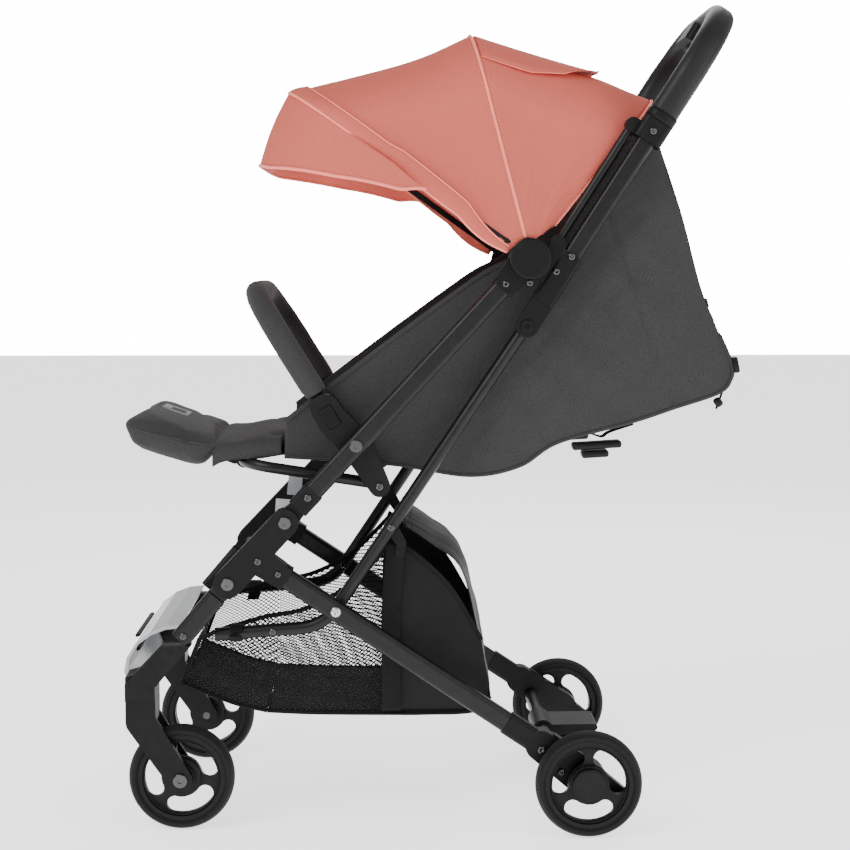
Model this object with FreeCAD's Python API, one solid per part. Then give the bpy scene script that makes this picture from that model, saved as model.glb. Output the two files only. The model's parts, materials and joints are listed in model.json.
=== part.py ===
"""Compact folding baby stroller: frame, wheels, casters, seat, canopy and basket.

Frame: millimetres, +Z up, the stroller faces -Y, the child's left side is +X.
The origin lies on the ground at the middle of the footprint. Side-view points are (y, z) pairs.
"""
import FreeCAD, Part
import math
import os

V = FreeCAD.Vector

# ---------------------------------------------------------------- driving dimensions
FRAME_X = 183.0                 # middle of the main side frames; sets the width of everything else
WHEEL_R = 66.0                  # all four wheels, outside of the tyre
WHEEL_W = 28.0                  # tyre width
TYRE_T = 12.0                   # tyre section depth
RIM_RING_T = 8.0                # rim ring depth under the tyre
HUB_R = 24.0                    # moulded hub disc of the rim
RIM_W = 20.0                    # rim width
SPOKE_COUNT = 3
REAR_AXLE = (200.0, WHEEL_R)    # rear wheel centre
REAR_WHEEL_X = FRAME_X + 27.0   # half of the rear track
FRONT_AXLE = (-304.5, WHEEL_R)  # front wheel centre
FRONT_WHEEL_X = FRAME_X - 17.0  # half of the front track
CASTER_Y = -352.5               # vertical swivel axis of the front forks
AXLE_R = 5.0                    # wheel axles
RUN = 0.05                      # radial running clearance of every turning fit
SIDE_GAP = 0.4                  # sideways clearance between moving faces

FRAME_T = 19.0                  # thickness of the side frames across the stroller
TUBE_W = 24.0                   # depth of the front tube
LEG_W = 25.0                    # depth of the front and rear leg tubes
TUBE_WALL = 1.8
CHEEK_T = 5.0                   # cheeks of the knee bracket
LINK_X = FRAME_X - 20.0         # middle of the inner link tubes
LINK_R = 8.0
LINK_WALL = 1.5
LINK_BEND_R = 60.0
SEAT_TUBE_X = FRAME_X - 37.0
SEAT_TUBE_R = 7.0
SEAT_HALF = FRAME_X - 49.0      # half width of the seat cushion
SHELL_HALF = FRAME_X - 40.5     # half width of the seat's fabric body
FABRIC_T = 2.0                  # sewn panels, with their lining
PIN_R = 5.0                     # frame pivot pins
RIVET_R = 4.0                   # rivet of the inner link

KNEE = (-173.0, 388.0)          # front tube pivots here on the knee bracket
LEG_PIVOT = (-243.5, 312.5)     # front leg pivots here
LINK_PIVOT = (-111.0, 277.5)    # inner link pivots on the rear leg
HUB = (125.5, 710.0)            # handle pivots on the front tube
LINK_TOP = (123.5, 628.0)       # upper end of the inner link
HANDLE_ANGLE = 57.3             # slope of the push handle
REAR_LEG_TOP = (-171.0, 317.6)
KNUCKLE = (142.0, 109.0)        # lower end of the rear leg
LINK_FRONT = (-262.0, 244.5)
LINK_CORNER = (-126.6, 254.4)
LEG_ANGLE = 229.7               # direction of the front leg from its pivot
HANDLE_REACH = 455.0            # from the link's upper end to the middle of the grip's cross part
GRIP_CORNER_R = 95.0
GRIP_HALF = FRAME_X - 9.0
GRIP_T = 35.0                   # grip section across the handle's plane
GRIP_W = 30.0                   # grip section in the handle's plane
HANDLE_X = FRAME_X - 11.0       # middle of the handle tubes
HANDLE_T = 18.0
HANDLE_W = 22.0
BACK_TUBE_OFFSET = 24.0         # thin tube in front of the handle tube
BACK_TUBE_R = 6.0

SEAT_PIVOT_L = 128.7            # along the front tube from the knee
LEGREST_AXIS = (-229.0, 457.0)  # cross part of the seat tube
BUMPER_X = FRAME_X - 25.0
BUMPER_R = 14.5
BUMPER_FOOT = (-112.0, 508.0)
BUMPER_TOP = (-212.0, 668.0)
BUMPER_CORNER_R = 80.0
PAD_HALF = FRAME_X - 38.0       # half width of the footrest pad
BASKET_HALF = FRAME_X - 45.0
CANOPY_TOP_HALF = FRAME_X - 11.0
CANOPY_CORNER_R = 80.0
CANOPY_EYE_R = 15.0
BACK_HINGE = (64.0, 474.0)
BACK_ANGLE = 20.5
BACK_LEN = 318.0
BACK_T = 30.0
KNUCKLE_R = 5.0                    # barrel of the backrest's hinge
HINGE_R = 2.5                      # rod through the barrel
TONGUE_X = FRAME_X - 123.0         # tongues of the seat board that carry the rod
TONGUE_W = 16.0
AXLE_BAR = (158.0, 88.0)
AXLE_BAR_R = 9.0


# ---------------------------------------------------------------- shape helpers
def unit(angle):
    """Side-view direction at an angle in degrees, from +Y towards +Z."""
    return (math.cos(math.radians(angle)), math.sin(math.radians(angle)))


def step(point, direction, along, across=0.0):
    """The point reached by going along a direction and then to its left."""
    return (point[0] + direction[0] * along - direction[1] * across,
            point[1] + direction[1] * along + direction[0] * across)


def heading(a, b):
    """Unit direction and distance from a to b."""
    length = math.hypot(b[0] - a[0], b[1] - a[1])
    return ((b[0] - a[0]) / length, (b[1] - a[1]) / length), length


def disc(x0, x1, centre, radius):
    """Round solid about a side-view centre, from x0 to x1."""
    return Part.makeCylinder(radius, x1 - x0, V(x0, centre[0], centre[1]), V(1, 0, 0))


def slab(x0, x1, points):
    """Straight-sided outline in the side view, from x0 to x1."""
    corners = [V(x0, y, z) for y, z in points]
    return Part.Face(Part.makePolygon(corners + corners[:1])).extrude(V(x1 - x0, 0, 0))


def fuse(shapes):
    """One solid from several that touch or overlap."""
    out = shapes[0]
    for other in shapes[1:]:
        out = out.fuse(other)
    return out.removeSplitter()


def bar(x0, x1, a, b, ra, rb):
    """Flat link with round ends of two radii."""
    direction, length = heading(a, b)
    lean = math.asin((ra - rb) / length)
    along, across = math.sin(lean), math.cos(lean)
    sides = [step(a, direction, ra * along, ra * across), step(b, direction, rb * along, rb * across),
             step(b, direction, rb * along, -rb * across), step(a, direction, ra * along, -ra * across)]
    return fuse([slab(x0, x1, sides), disc(x0, x1, a, ra), disc(x0, x1, b, rb)])


def box_ring(origin, ex, ey, width, height, radius):
    """Closed wire of a rectangle with round corners, about origin."""
    edges = []
    corners = [(1, 1), (-1, 1), (-1, -1), (1, -1)]
    half_w, half_h = width / 2 - radius, height / 2 - radius
    ends = []
    for i, (sx, sy) in enumerate(corners):
        centre = origin + ex * (sx * half_w) + ey * (sy * half_h)
        turn = [math.radians(90 * i + k) for k in (0, 45, 90)]
        arc = [centre + ex * (radius * math.cos(t)) + ey * (radius * math.sin(t)) for t in turn]
        ends.append(arc)
    for i, arc in enumerate(ends):
        edges.append(Part.Arc(arc[0], arc[1], arc[2]).toShape())
        edges.append(Part.LineSegment(arc[2], ends[(i + 1) % 4][0]).toShape())
    return Part.Wire(edges)


def box_tube(x_mid, a, b, depth, thickness, radius, wall=0.0):
    """Straight tube of rounded rectangular section in the side view; solid if wall is 0."""
    direction, length = heading(a, b)
    start = V(x_mid, a[0], a[1])
    along = V(0, direction[0], direction[1]) * length
    across = V(0, -direction[1], direction[0])
    ring = box_ring(start, across, V(1, 0, 0), depth, thickness, radius)
    body = Part.Face(ring).extrude(along)
    if wall:
        inner = box_ring(start, across, V(1, 0, 0), depth - 2 * wall, thickness - 2 * wall,
                         max(radius - wall, 0.8))
        body = body.cut(Part.Face(inner).extrude(along))
    return body


def rounded_path(points, radius):
    """Wire of straight runs joined by tangent arcs."""
    edges, start = [], points[0]
    for before, corner, after in zip(points, points[1:], points[2:]):
        back = (before - corner).normalize()
        on = (after - corner).normalize()
        turn = math.pi - back.getAngle(on)
        reach = radius * math.tan(turn / 2)
        middle = (back + on).normalize() * (radius / math.cos(turn / 2) - radius)
        edges.append(Part.LineSegment(start, corner + back * reach).toShape())
        edges.append(Part.Arc(corner + back * reach, corner + middle, corner + on * reach).toShape())
        start = corner + on * reach
    edges.append(Part.LineSegment(start, points[-1]).toShape())
    return Part.Wire(edges)


def pipe(points, radius, bend, wall=0.0):
    """Round tube along straight runs with tangent bends."""
    path = rounded_path(points, bend)
    axis = (points[1] - points[0]).normalize()

    def solid(r):
        ring = Part.Wire([Part.makeCircle(r, points[0], axis)])
        return path.makePipeShell([ring], True, True)

    return solid(radius).cut(solid(radius - wall)) if wall else solid(radius)


def mirrored(shape):
    """The same shape on the other side of the stroller."""
    return shape.mirror(V(0, 0, 0), V(1, 0, 0))


def pair(shape):
    """Left and right copies as one compound of separate solids."""
    return Part.makeCompound([shape, mirrored(shape)])


def bolt(x0, x1, centre, radius, head_r, head_t):
    """Pin from x0 to x1 with a domed head beyond x1."""
    head = disc(x1, x1 + head_t, centre, head_r)
    rim = [e for e in head.Edges if abs(e.BoundBox.XMax - x1 - head_t) < 1e-6 and e.BoundBox.YLength > head_r]
    head = head.makeFillet(head_t * 0.45, rim)
    socket = disc(x1 + head_t * 0.4, x1 + head_t, centre, head_r * 0.35)
    return fuse([disc(x0, x1, centre, radius), head.cut(socket)])


PARTS = {}


def keep(name, shape):
    """Files one node."""
    PARTS[name] = shape


def keep_sides(name, shape):
    """Files the left node and its mirror image."""
    keep(name + "_left", shape)
    keep(name + "_right", mirrored(shape))


# ---------------------------------------------------------------- places worked out from the sizes
TUBE_DIR, TUBE_LEN = heading(KNEE, HUB)
REAR_DIR, _ = heading(REAR_LEG_TOP, KNUCKLE)
LEG_DIR = unit(LEG_ANGLE)
HANDLE_DIR = unit(HANDLE_ANGLE)
SEAT_PIVOT = step(KNEE, TUBE_DIR, SEAT_PIVOT_L)
FRAME_IN = FRAME_X - FRAME_T / 2
FRAME_OUT = FRAME_X + FRAME_T / 2
BRACKET_IN, BRACKET_OUT = FRAME_IN - 1.0, FRAME_OUT + 1.0
HEAD_T = 3.0


def on_tube(along, across=0.0):
    """Point on the front tube, measured from the knee."""
    return step(KNEE, TUBE_DIR, along, across)


def on_handle(along, across=0.0):
    """Point on the handle, measured from the link's upper end."""
    return step(LINK_TOP, HANDLE_DIR, along, across)


def on_leg(along, across=0.0):
    """Point on the front leg, measured from its pivot."""
    return step(LEG_PIVOT, LEG_DIR, along, across)


# ---------------------------------------------------------------- wheels
def tyre(x_mid, centre):
    """Foam tyre: a ring with a rounded tread."""
    inner, half = WHEEL_R - TYRE_T, WHEEL_W / 2
    shoulder = 5.0
    profile = [V(-RIM_W / 2, inner, 0), V(-half, inner + 3, 0), V(-half, WHEEL_R - shoulder, 0)]
    arc = Part.Arc(profile[2], V(0, WHEEL_R, 0), V(half, WHEEL_R - shoulder, 0)).toShape()
    tail = [V(half, WHEEL_R - shoulder, 0), V(half, inner + 3, 0), V(RIM_W / 2, inner, 0), profile[0]]
    ring = Part.Wire([Part.makePolygon(profile), arc, Part.makePolygon(tail)])
    wheel = Part.Face(ring).revolve(V(0, 0, 0), V(1, 0, 0), 360)
    wheel.translate(V(x_mid, centre[0], centre[1]))
    return wheel


def kidney(x0, x1, r_in, r_out, middle, half_span):
    """Curved window between two radii about the wheel axis, with round ends."""
    mid_r, end_r = (r_in + r_out) / 2, (r_out - r_in) / 2
    lo, hi = math.radians(middle - half_span), math.radians(middle + half_span)

    def at(radius, angle):
        return V(x0, radius * math.cos(angle), radius * math.sin(angle))

    def cap(angle, sign):
        tip = at(mid_r, angle) + V(0, -math.sin(angle), math.cos(angle)) * (sign * end_r)
        ends = (at(r_out, angle), at(r_in, angle)) if sign > 0 else (at(r_in, angle), at(r_out, angle))
        return Part.Arc(ends[0], tip, ends[1]).toShape()

    outer = Part.Arc(at(r_out, lo), at(r_out, (lo + hi) / 2), at(r_out, hi)).toShape()
    inner = Part.Arc(at(r_in, hi), at(r_in, (lo + hi) / 2), at(r_in, lo)).toShape()
    return Part.Face(Part.Wire([outer, cap(hi, 1), inner, cap(lo, -1)])).extrude(V(x1 - x0, 0, 0))


def rim(x_mid, centre, side, turn):
    """Spoked rim with three windows, a bore for the axle and a cap on its outer side."""
    ring_r = WHEEL_R - TYRE_T
    window_in, window_out = HUB_R + 1.5, ring_r - RIM_RING_T
    body = disc(-RIM_W / 2, RIM_W / 2, (0, 0), ring_r)
    web = 8.0
    for x0, x1 in ((-RIM_W / 2, -web / 2), (web / 2, RIM_W / 2)):
        body = body.cut(disc(x0, x1, (0, 0), ring_r - 5).cut(disc(x0, x1, (0, 0), HUB_R)))
    span = 360 / SPOKE_COUNT / 2 - 26
    for i in range(SPOKE_COUNT):
        body = body.cut(kidney(-web, web, window_in, window_out, turn + i * 360 / SPOKE_COUNT, span))
    hub = disc(-WHEEL_W / 2, WHEEL_W / 2, (0, 0), HUB_R - 6)
    cap = Part.makeCylinder(HUB_R - 3, 3, V(WHEEL_W / 2 * side, 0, 0), V(side, 0, 0))
    body = fuse([body, hub, cap])
    blind = WHEEL_W / 2 - 1 if side else WHEEL_W
    bore = disc(-WHEEL_W, blind, (0, 0), AXLE_R + RUN)
    if side < 0:
        bore = mirrored(bore)
    body = body.cut(bore)
    body.translate(V(x_mid, centre[0], centre[1]))
    return body


def through_rim(x_mid, centre, turn):
    """Front rim: bored through for its axle bolt."""
    body = rim(0, (0, 0), 1, turn)
    body = body.cut(disc(WHEEL_W / 2, WHEEL_W, (0, 0), HUB_R))
    body = body.cut(disc(-WHEEL_W, WHEEL_W, (0, 0), AXLE_R + RUN))
    body.translate(V(x_mid, centre[0], centre[1]))
    return body


def make_wheels():
    for side, name in ((1, "left"), (-1, "right")):
        keep("rear_tyre_" + name, tyre(side * REAR_WHEEL_X, REAR_AXLE))
        keep("rear_rim_" + name, rim(side * REAR_WHEEL_X, REAR_AXLE, side, 30))
        keep("front_tyre_" + name, tyre(side * FRONT_WHEEL_X, FRONT_AXLE))
        keep("front_rim_" + name, through_rim(side * FRONT_WHEEL_X, FRONT_AXLE, 50))


# ---------------------------------------------------------------- rear part of the base
def make_base():
    # knee bracket: one arm to the front tube, one to the front leg, one round the rear leg
    elbow = step(REAR_LEG_TOP, REAR_DIR, -48)
    arms = [bar(BRACKET_IN, BRACKET_OUT, KNEE, LEG_PIVOT, 17, 18),
            bar(BRACKET_IN, BRACKET_OUT, elbow, step(REAR_LEG_TOP, REAR_DIR, -14), 17, 15.5)]
    collar = box_tube(FRAME_X, step(REAR_LEG_TOP, REAR_DIR, -30), REAR_LEG_TOP, 31,
                      BRACKET_OUT - BRACKET_IN, 4)
    bracket = fuse(arms + [collar])
    slot_in, slot_out = BRACKET_IN + CHEEK_T, BRACKET_OUT - CHEEK_T
    for centre in (KNEE, LEG_PIVOT):
        bracket = bracket.cut(disc(slot_in, slot_out, centre, 19))
        bracket = bracket.cut(disc(BRACKET_IN - 1, BRACKET_OUT + 1, centre, PIN_R))
    leg_start, leg_end = step(REAR_LEG_TOP, REAR_DIR, -18), step(KNUCKLE, REAR_DIR, -26)
    leg_full = box_tube(FRAME_X, leg_start, leg_end, LEG_W, FRAME_T - 1, 6)
    keep_sides("y_bracket", bracket.cut(leg_full))

    leg = box_tube(FRAME_X, leg_start, leg_end, LEG_W, FRAME_T - 1, 6, TUBE_WALL)
    leg = leg.cut(disc(FRAME_IN - 1, FRAME_OUT + 1, LINK_PIVOT, RIVET_R))
    keep_sides("rear_leg", leg)

    # rear wheel bracket: a sleeve on the leg, a knuckle and an arm that holds the axle
    sleeve = box_tube(FRAME_X, step(KNUCKLE, REAR_DIR, -50), step(KNUCKLE, REAR_DIR, -8), LEG_W + 4,
                      BRACKET_OUT - BRACKET_IN, 6)
    tail = (251.0, 46.0)
    arm = fuse([bar(BRACKET_IN, BRACKET_OUT, KNUCKLE, REAR_AXLE, 19, 24),
                slab(BRACKET_IN + 2, BRACKET_OUT - 2,
                     [(160, 122), (192, 99), (tail[0], tail[1] + 4), tail,
                                               (224, 47), (190, 44)])])
    axle = disc(BRACKET_OUT, REAR_WHEEL_X + WHEEL_W / 2 - 3, REAR_AXLE, AXLE_R)
    boss = disc(BRACKET_OUT, REAR_WHEEL_X - WHEEL_W / 2 - SIDE_GAP, REAR_AXLE, 11)
    holder = fuse([sleeve, arm, axle, boss]).cut(leg_full)
    holder = holder.cut(disc(BRACKET_IN - 1, FRAME_X, AXLE_BAR, AXLE_BAR_R))
    keep_sides("rear_bracket", holder)

    keep("rear_axle_bar", disc(-FRAME_X, FRAME_X, AXLE_BAR, AXLE_BAR_R)
         .cut(disc(-FRAME_X, FRAME_X, AXLE_BAR, AXLE_BAR_R - 1.5)))

    pins = [bolt(BRACKET_IN, BRACKET_OUT, KNEE, PIN_R, 8, HEAD_T),
            bolt(BRACKET_IN, BRACKET_OUT, LEG_PIVOT, PIN_R, 8, HEAD_T),
            fuse([bolt(LINK_X - LINK_R - 1, FRAME_OUT - 0.5, LINK_PIVOT, RIVET_R, 7, 1.5),
                  disc(LINK_X + LINK_R + SIDE_GAP, FRAME_IN, LINK_PIVOT, RIVET_R + 3)])]
    keep("frame_pins", Part.makeCompound([p for pin in pins for p in (pin, mirrored(pin))]))

    make_basket()

    # brake pedal: a clip round the axle bar with a rearward foot plate
    pedal_half = 36.0
    clip = disc(-pedal_half, pedal_half, AXLE_BAR, AXLE_BAR_R + 5)
    plate = bar(-pedal_half, pedal_half, step(AXLE_BAR, (1, 0), 12), (226, 92), 8, 4.5)
    pedal = fuse([clip, plate]).cut(disc(-pedal_half - 1, pedal_half + 1, AXLE_BAR, AXLE_BAR_R + RUN))
    keep("brake_pedal", pedal)


def shell_of(points, half, wall, cavity):
    """Fabric body: a slab across the stroller less its hollow."""
    return slab(-half, half, points).cut(slab(-half + wall, half - wall, cavity))


def make_basket():
    wall, floor_z, top_z = FABRIC_T, 138.0, 285.0
    rear_bottom, rear_top = (80.0, floor_z), (58.0, top_z)
    front_y = -200.0
    tray = [(front_y, floor_z), rear_bottom, rear_top, (front_y, top_z - 55)]
    hollow = [(front_y + wall, floor_z + wall), (rear_bottom[0] - wall, floor_z + wall),
              (rear_top[0] - wall - 3, top_z + 20), (front_y + wall, top_z + 20)]
    keep("basket_tray", shell_of(tray, BASKET_HALF, wall, hollow))

    gap = 0.5
    nose = [(front_y - gap, floor_z), (front_y - gap, top_z - 55), (-282, 236), (-302, 190), (-300, 174)]
    nose_in = [(front_y, floor_z + wall + 1), (front_y, top_z), (-279, 244), (-299.5, 190), (-297, 176.5)]
    front = shell_of(nose, BASKET_HALF, wall, nose_in)
    rim_gap = top_z + gap
    back = [(56, rim_gap), (44, 322), (-26, 376), (-40, 350), (-44, rim_gap)]
    back_in = [(53.5, rim_gap - 1), (41.5, 321), (-27, 373.5), (-60, 400), (-60, rim_gap - 1)]
    strap = slab(BASKET_HALF + gap, BASKET_HALF + gap + 1.5,
                 [(-55, 150), (-32, 150), (-30, 352), (-46, 352)])
    rear = shell_of(back, BASKET_HALF, wall, back_in)
    keep("basket_fabric", Part.makeCompound([front, rear, strap, mirrored(strap)]))


# ---------------------------------------------------------------- front legs, casters
def make_front_legs():
    tongue_in, tongue_out = BRACKET_IN + CHEEK_T + SIDE_GAP, BRACKET_OUT - CHEEK_T - SIDE_GAP
    leg_end = 92.0
    body = box_tube(FRAME_X, on_leg(22), on_leg(leg_end), LEG_W, FRAME_T, 6)
    tongue = bar(tongue_in, tongue_out, LEG_PIVOT, on_leg(30), 14, 10)
    leg = fuse([body, tongue]).cut(disc(tongue_in - 1, tongue_out + 1, LEG_PIVOT, PIN_R + RUN))
    top_z, low_z = 236.0, 166.5
    cap_cut = slab(FRAME_IN - 5, FRAME_OUT + 5, [(-400, 100), (-200, 100), (-200, top_z), (-400, top_z)])
    keep_sides("front_leg", leg.cut(cap_cut))

    block_in, block_out = FRONT_WHEEL_X - 22, FRONT_WHEEL_X + 23
    depth = 18.5
    upper = slab(FRAME_IN - 3, FRAME_OUT, [(-325.5, top_z), (CASTER_Y - depth, 188),
                                           (CASTER_Y - depth, low_z),
                                           (CASTER_Y + depth, low_z), (CASTER_Y + depth, 184),
                                           (-289, top_z)])
    lower = slab(block_in, block_out, [(CASTER_Y - depth, 196), (CASTER_Y - depth, low_z),
                                       (CASTER_Y + depth, low_z), (CASTER_Y + depth, 192), (-340, 206)])
    housing = fuse([upper, lower])
    stem_top = 192.0
    housing = housing.cut(Part.makeCylinder(6 + RUN, stem_top - low_z + 1,
                                            V(FRONT_WHEEL_X, CASTER_Y, low_z - 1)))
    keep("caster_housings", pair(housing))

    # front step: a bowed panel between the two housings
    outer = [(86, 9), (100, 23), (118, 33), (140, 38), (162, 35), (178, 26), (187, 8), (185, 2)]
    inner = [(182, 6), (174, 23), (160, 31.5), (140, 34.5), (120, 29.5), (103, 20), (90, 7)]
    step_half = block_in
    keep("front_step", slab(-step_half, step_half, [on_leg(a, -n) for a, n in outer + inner]))

    # forks
    crown_z = 140.0
    plate_t, plate_gap = 6.0, WHEEL_W / 2 + 3
    for side, name in ((1, "left"), (-1, "right")):
        x = side * FRONT_WHEEL_X
        x_low, x_high = x - plate_gap - plate_t, x + plate_gap + plate_t
        crown = slab(x_low, x_high, [(CASTER_Y - depth, crown_z), (CASTER_Y + depth, crown_z),
                                     (CASTER_Y + depth, low_z - SIDE_GAP),
                                     (CASTER_Y - depth, low_z - SIDE_GAP)])
        stem = Part.makeCylinder(6, stem_top - low_z - 2, V(x, CASTER_Y, low_z - SIDE_GAP))
        plates = [bar(x0, x0 + plate_t, (CASTER_Y, crown_z), FRONT_AXLE, depth, 15)
                  for x0 in (x_low, x_high - plate_t)]
        fork = fuse([crown, stem] + plates).cut(disc(x_low - 1, x_high + 1, FRONT_AXLE, AXLE_R))
        keep("fork_" + name, fork)
        pin = bolt(FRONT_WHEEL_X - plate_gap - plate_t, FRONT_WHEEL_X + plate_gap + plate_t, FRONT_AXLE,
                   AXLE_R, 9, HEAD_T)
        keep("front_axle_" + name, pin if side > 0 else mirrored(pin))


# ---------------------------------------------------------------- front tubes and hubs
HOUSING_R = 25.0
HOUSING_IN, HOUSING_OUT = FRAME_X - 0.5, FRAME_X + 13.0
EAR_IN, EAR_OUT = FRAME_IN + SIDE_GAP, HOUSING_IN - SIDE_GAP
BOW_T = 3.0
CAP_IN = HOUSING_OUT + 2 * (BOW_T + SIDE_GAP) + SIDE_GAP
CAP_T = 10.0


def make_front_tubes():
    tongue_in, tongue_out = BRACKET_IN + CHEEK_T + SIDE_GAP, BRACKET_OUT - CHEEK_T - SIDE_GAP
    tube_start, tube_end = 34.0, TUBE_LEN - 40
    full = box_tube(FRAME_X, on_tube(tube_start), on_tube(tube_end), TUBE_W, FRAME_T, 6)
    tube = box_tube(FRAME_X, on_tube(tube_start), on_tube(tube_end), TUBE_W, FRAME_T, 6, TUBE_WALL)
    tube = tube.cut(disc(FRAME_IN - 1, FRAME_OUT + 1, SEAT_PIVOT, PIN_R))
    keep_sides("front_tube", tube)

    block = box_tube(FRAME_X, on_tube(23), on_tube(52), TUBE_W + 3, FRAME_T + 2, 5).cut(full)
    tongue = bar(tongue_in, tongue_out, KNEE, on_tube(30), 14, 10).cut(full)
    end = fuse([block, tongue]).cut(disc(tongue_in - 1, tongue_out + 1, KNEE, PIN_R + RUN))
    keep("front_tube_ends", pair(end))

    socket = box_tube(FRAME_X, on_tube(TUBE_LEN - 50), on_tube(TUBE_LEN - 31), TUBE_W + 4, FRAME_T + 4, 5)
    dome = disc(HOUSING_IN, HOUSING_OUT, HUB, HOUSING_R)
    neck = slab(HOUSING_IN, HOUSING_OUT, [on_tube(TUBE_LEN - 45, 15), on_tube(TUBE_LEN - 45, -15),
                                          on_tube(TUBE_LEN - 10, -20), on_tube(TUBE_LEN - 10, 20)])
    hub = fuse([socket, dome, neck]).cut(full).cut(disc(HOUSING_IN - 1, HOUSING_OUT + 1, HUB, PIN_R))
    keep("hub_housings", pair(hub))

    hub_axle = disc(EAR_IN - 1, CAP_IN + CAP_T - 4, HUB, PIN_R)
    seat_pin = bolt(SEAT_TUBE_X + 9, FRAME_OUT, SEAT_PIVOT, PIN_R, 8, HEAD_T)
    keep("upper_pins", Part.makeCompound([hub_axle, mirrored(hub_axle), seat_pin, mirrored(seat_pin)]))


# ---------------------------------------------------------------- inner links
def make_links():
    path = [V(LINK_X, y, z) for y, z in (LINK_FRONT, LINK_CORNER, LINK_TOP)]
    link = pipe(path, LINK_R, LINK_BEND_R, LINK_WALL)
    link = link.cut(disc(LINK_X - 20, LINK_X + 20, LINK_PIVOT, RIVET_R + RUN))
    keep_sides("rear_link", link)

    direction, length = heading(LINK_CORNER, LINK_TOP)
    hook = step(LINK_CORNER, direction, 149)
    inner = LINK_X - LINK_R
    tab = fuse([bar(inner - 5, inner, hook, (hook[0] + 14, hook[1] - 22), 8, 6),
                bar(inner - 9, inner - 5, (hook[0] + 14, hook[1] - 22), (hook[0] + 12, hook[1] - 34), 6,
                    6)])
    keep("basket_hangers", pair(tab))


# ---------------------------------------------------------------- push handle
def make_handle():
    tube_from, tube_to = 62.0, HANDLE_REACH - 175
    full = box_tube(HANDLE_X, on_handle(tube_from), on_handle(tube_to), HANDLE_W, HANDLE_T, 5)
    tube = box_tube(HANDLE_X, on_handle(tube_from), on_handle(tube_to), HANDLE_W, HANDLE_T, 5, TUBE_WALL)
    keep("handle_tubes", pair(tube))

    back_from = on_handle(100, BACK_TUBE_OFFSET)
    back_to = on_handle(tube_to - 8, BACK_TUBE_OFFSET)
    back_x = HANDLE_X - 6
    direction, length = heading(back_from, back_to)
    back_full = Part.makeCylinder(BACK_TUBE_R, length, V(back_x, back_from[0], back_from[1]),
                                  V(0, direction[0], direction[1]))
    back_in = Part.makeCylinder(BACK_TUBE_R - 1.2, length, V(back_x, back_from[0], back_from[1]),
                                V(0, direction[0], direction[1]))
    keep("back_tubes", pair(back_full.cut(back_in)))

    # moulded bracket: outer cheek over the link's end, ear to the hub, sleeve on the handle tube
    cheek = bar(EAR_IN, EAR_OUT, LINK_TOP, on_handle(60), 14, 14)
    ear = bar(EAR_IN, EAR_OUT, HUB, on_handle(70), 18, 14)
    sleeve = box_tube(HANDLE_X, on_handle(34), on_handle(103), HANDLE_W + 6, HANDLE_T + 5, 5)
    horn = bar(EAR_IN - 5, EAR_OUT, on_handle(76, 8), on_handle(106, BACK_TUBE_OFFSET), 13, 9)
    bracket = fuse([cheek, ear, sleeve, horn]).cut(full).cut(back_full)
    bracket = bracket.cut(disc(EAR_IN - 1, EAR_OUT + 1, HUB, PIN_R + RUN))
    stud = bolt(EAR_OUT - 1, EAR_OUT, LINK_TOP, 5, 8, HEAD_T)
    bracket = fuse([bracket, stud])
    keep("handle_brackets", pair(bracket))

    collar = box_tube(HANDLE_X, on_handle(tube_to - 14), on_handle(tube_to + 14), GRIP_T + 2,
                      HANDLE_T + 14, 7)
    lug = bar(HANDLE_X - 14, HANDLE_X + 6, on_handle(tube_to - 5, 8),
              on_handle(tube_to - 5, BACK_TUBE_OFFSET), 9, 9)
    keep("handle_collars", pair(fuse([collar, lug]).cut(full).cut(back_full)))

    # grip: a padded U on top of both tubes
    low, high = on_handle(tube_to + 14), on_handle(HANDLE_REACH)
    corners = [V(GRIP_HALF, low[0], low[1]), V(GRIP_HALF, high[0], high[1]),
               V(-GRIP_HALF, high[0], high[1]), V(-GRIP_HALF, low[0], low[1])]
    ring = box_ring(corners[0], V(1, 0, 0), V(0, -HANDLE_DIR[1], HANDLE_DIR[0]), GRIP_W, GRIP_T, 13)
    grip = rounded_path(corners, GRIP_CORNER_R).makePipeShell([ring], True, True)

    # release: a housing let into the middle of the grip, with a sliding button on its front
    house_half, reach = 42.0, HANDLE_REACH - GRIP_W / 2 - 6
    house = box_tube(0, on_handle(reach - 12), on_handle(reach + 12), GRIP_T + 4, 2 * house_half, 8)
    pocket = box_tube(0, on_handle(reach - 13), on_handle(reach - 2), 16, 34, 3)
    keep("handle_grip", grip.cut(house))
    keep("release_housing", house.cut(pocket))
    keep("release_button", box_tube(0, on_handle(reach - 17), on_handle(reach - 6), 15, 33, 3))


# ---------------------------------------------------------------- canopy
def polar(x, radius, angle):
    """Point at a distance from the hub axis, at an angle in the side view."""
    direction = unit(angle)
    return V(x, HUB[0] + direction[0] * radius, HUB[1] + direction[1] * radius)


def arch(angle, reach, foot_r, inset):
    """Half-outline of a bow in its own plane, from foot to foot, inset towards the hub."""
    foot_x, top_x = HOUSING_OUT + 1 - inset, CANOPY_TOP_HALF - inset
    top, bend = reach - inset, CANOPY_CORNER_R - inset
    points = [polar(foot_x, foot_r, angle), polar(top_x, top - bend, angle)]
    around = [polar(top_x - bend * (1 - math.cos(t)), top - bend * (1 - math.sin(t)), angle)
              for t in (math.pi / 8, math.pi / 4, math.pi * 3 / 8)]
    points += around + [polar(top_x - bend, top, angle)]
    return points + [V(-p.x, p.y, p.z) for p in reversed(points)]


def sheet(stations):
    """Closed fabric panel of even thickness through arches at (angle, reach, foot radius)."""
    rings = []
    for angle, reach, foot_r in stations:
        outer = arch(angle, reach, foot_r, 0.0)
        inner = arch(angle, reach, foot_r, FABRIC_T)
        rings.append(Part.makePolygon(outer + inner[::-1] + outer[:1]))
    return Part.makeLoft(rings, True, True)


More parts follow.
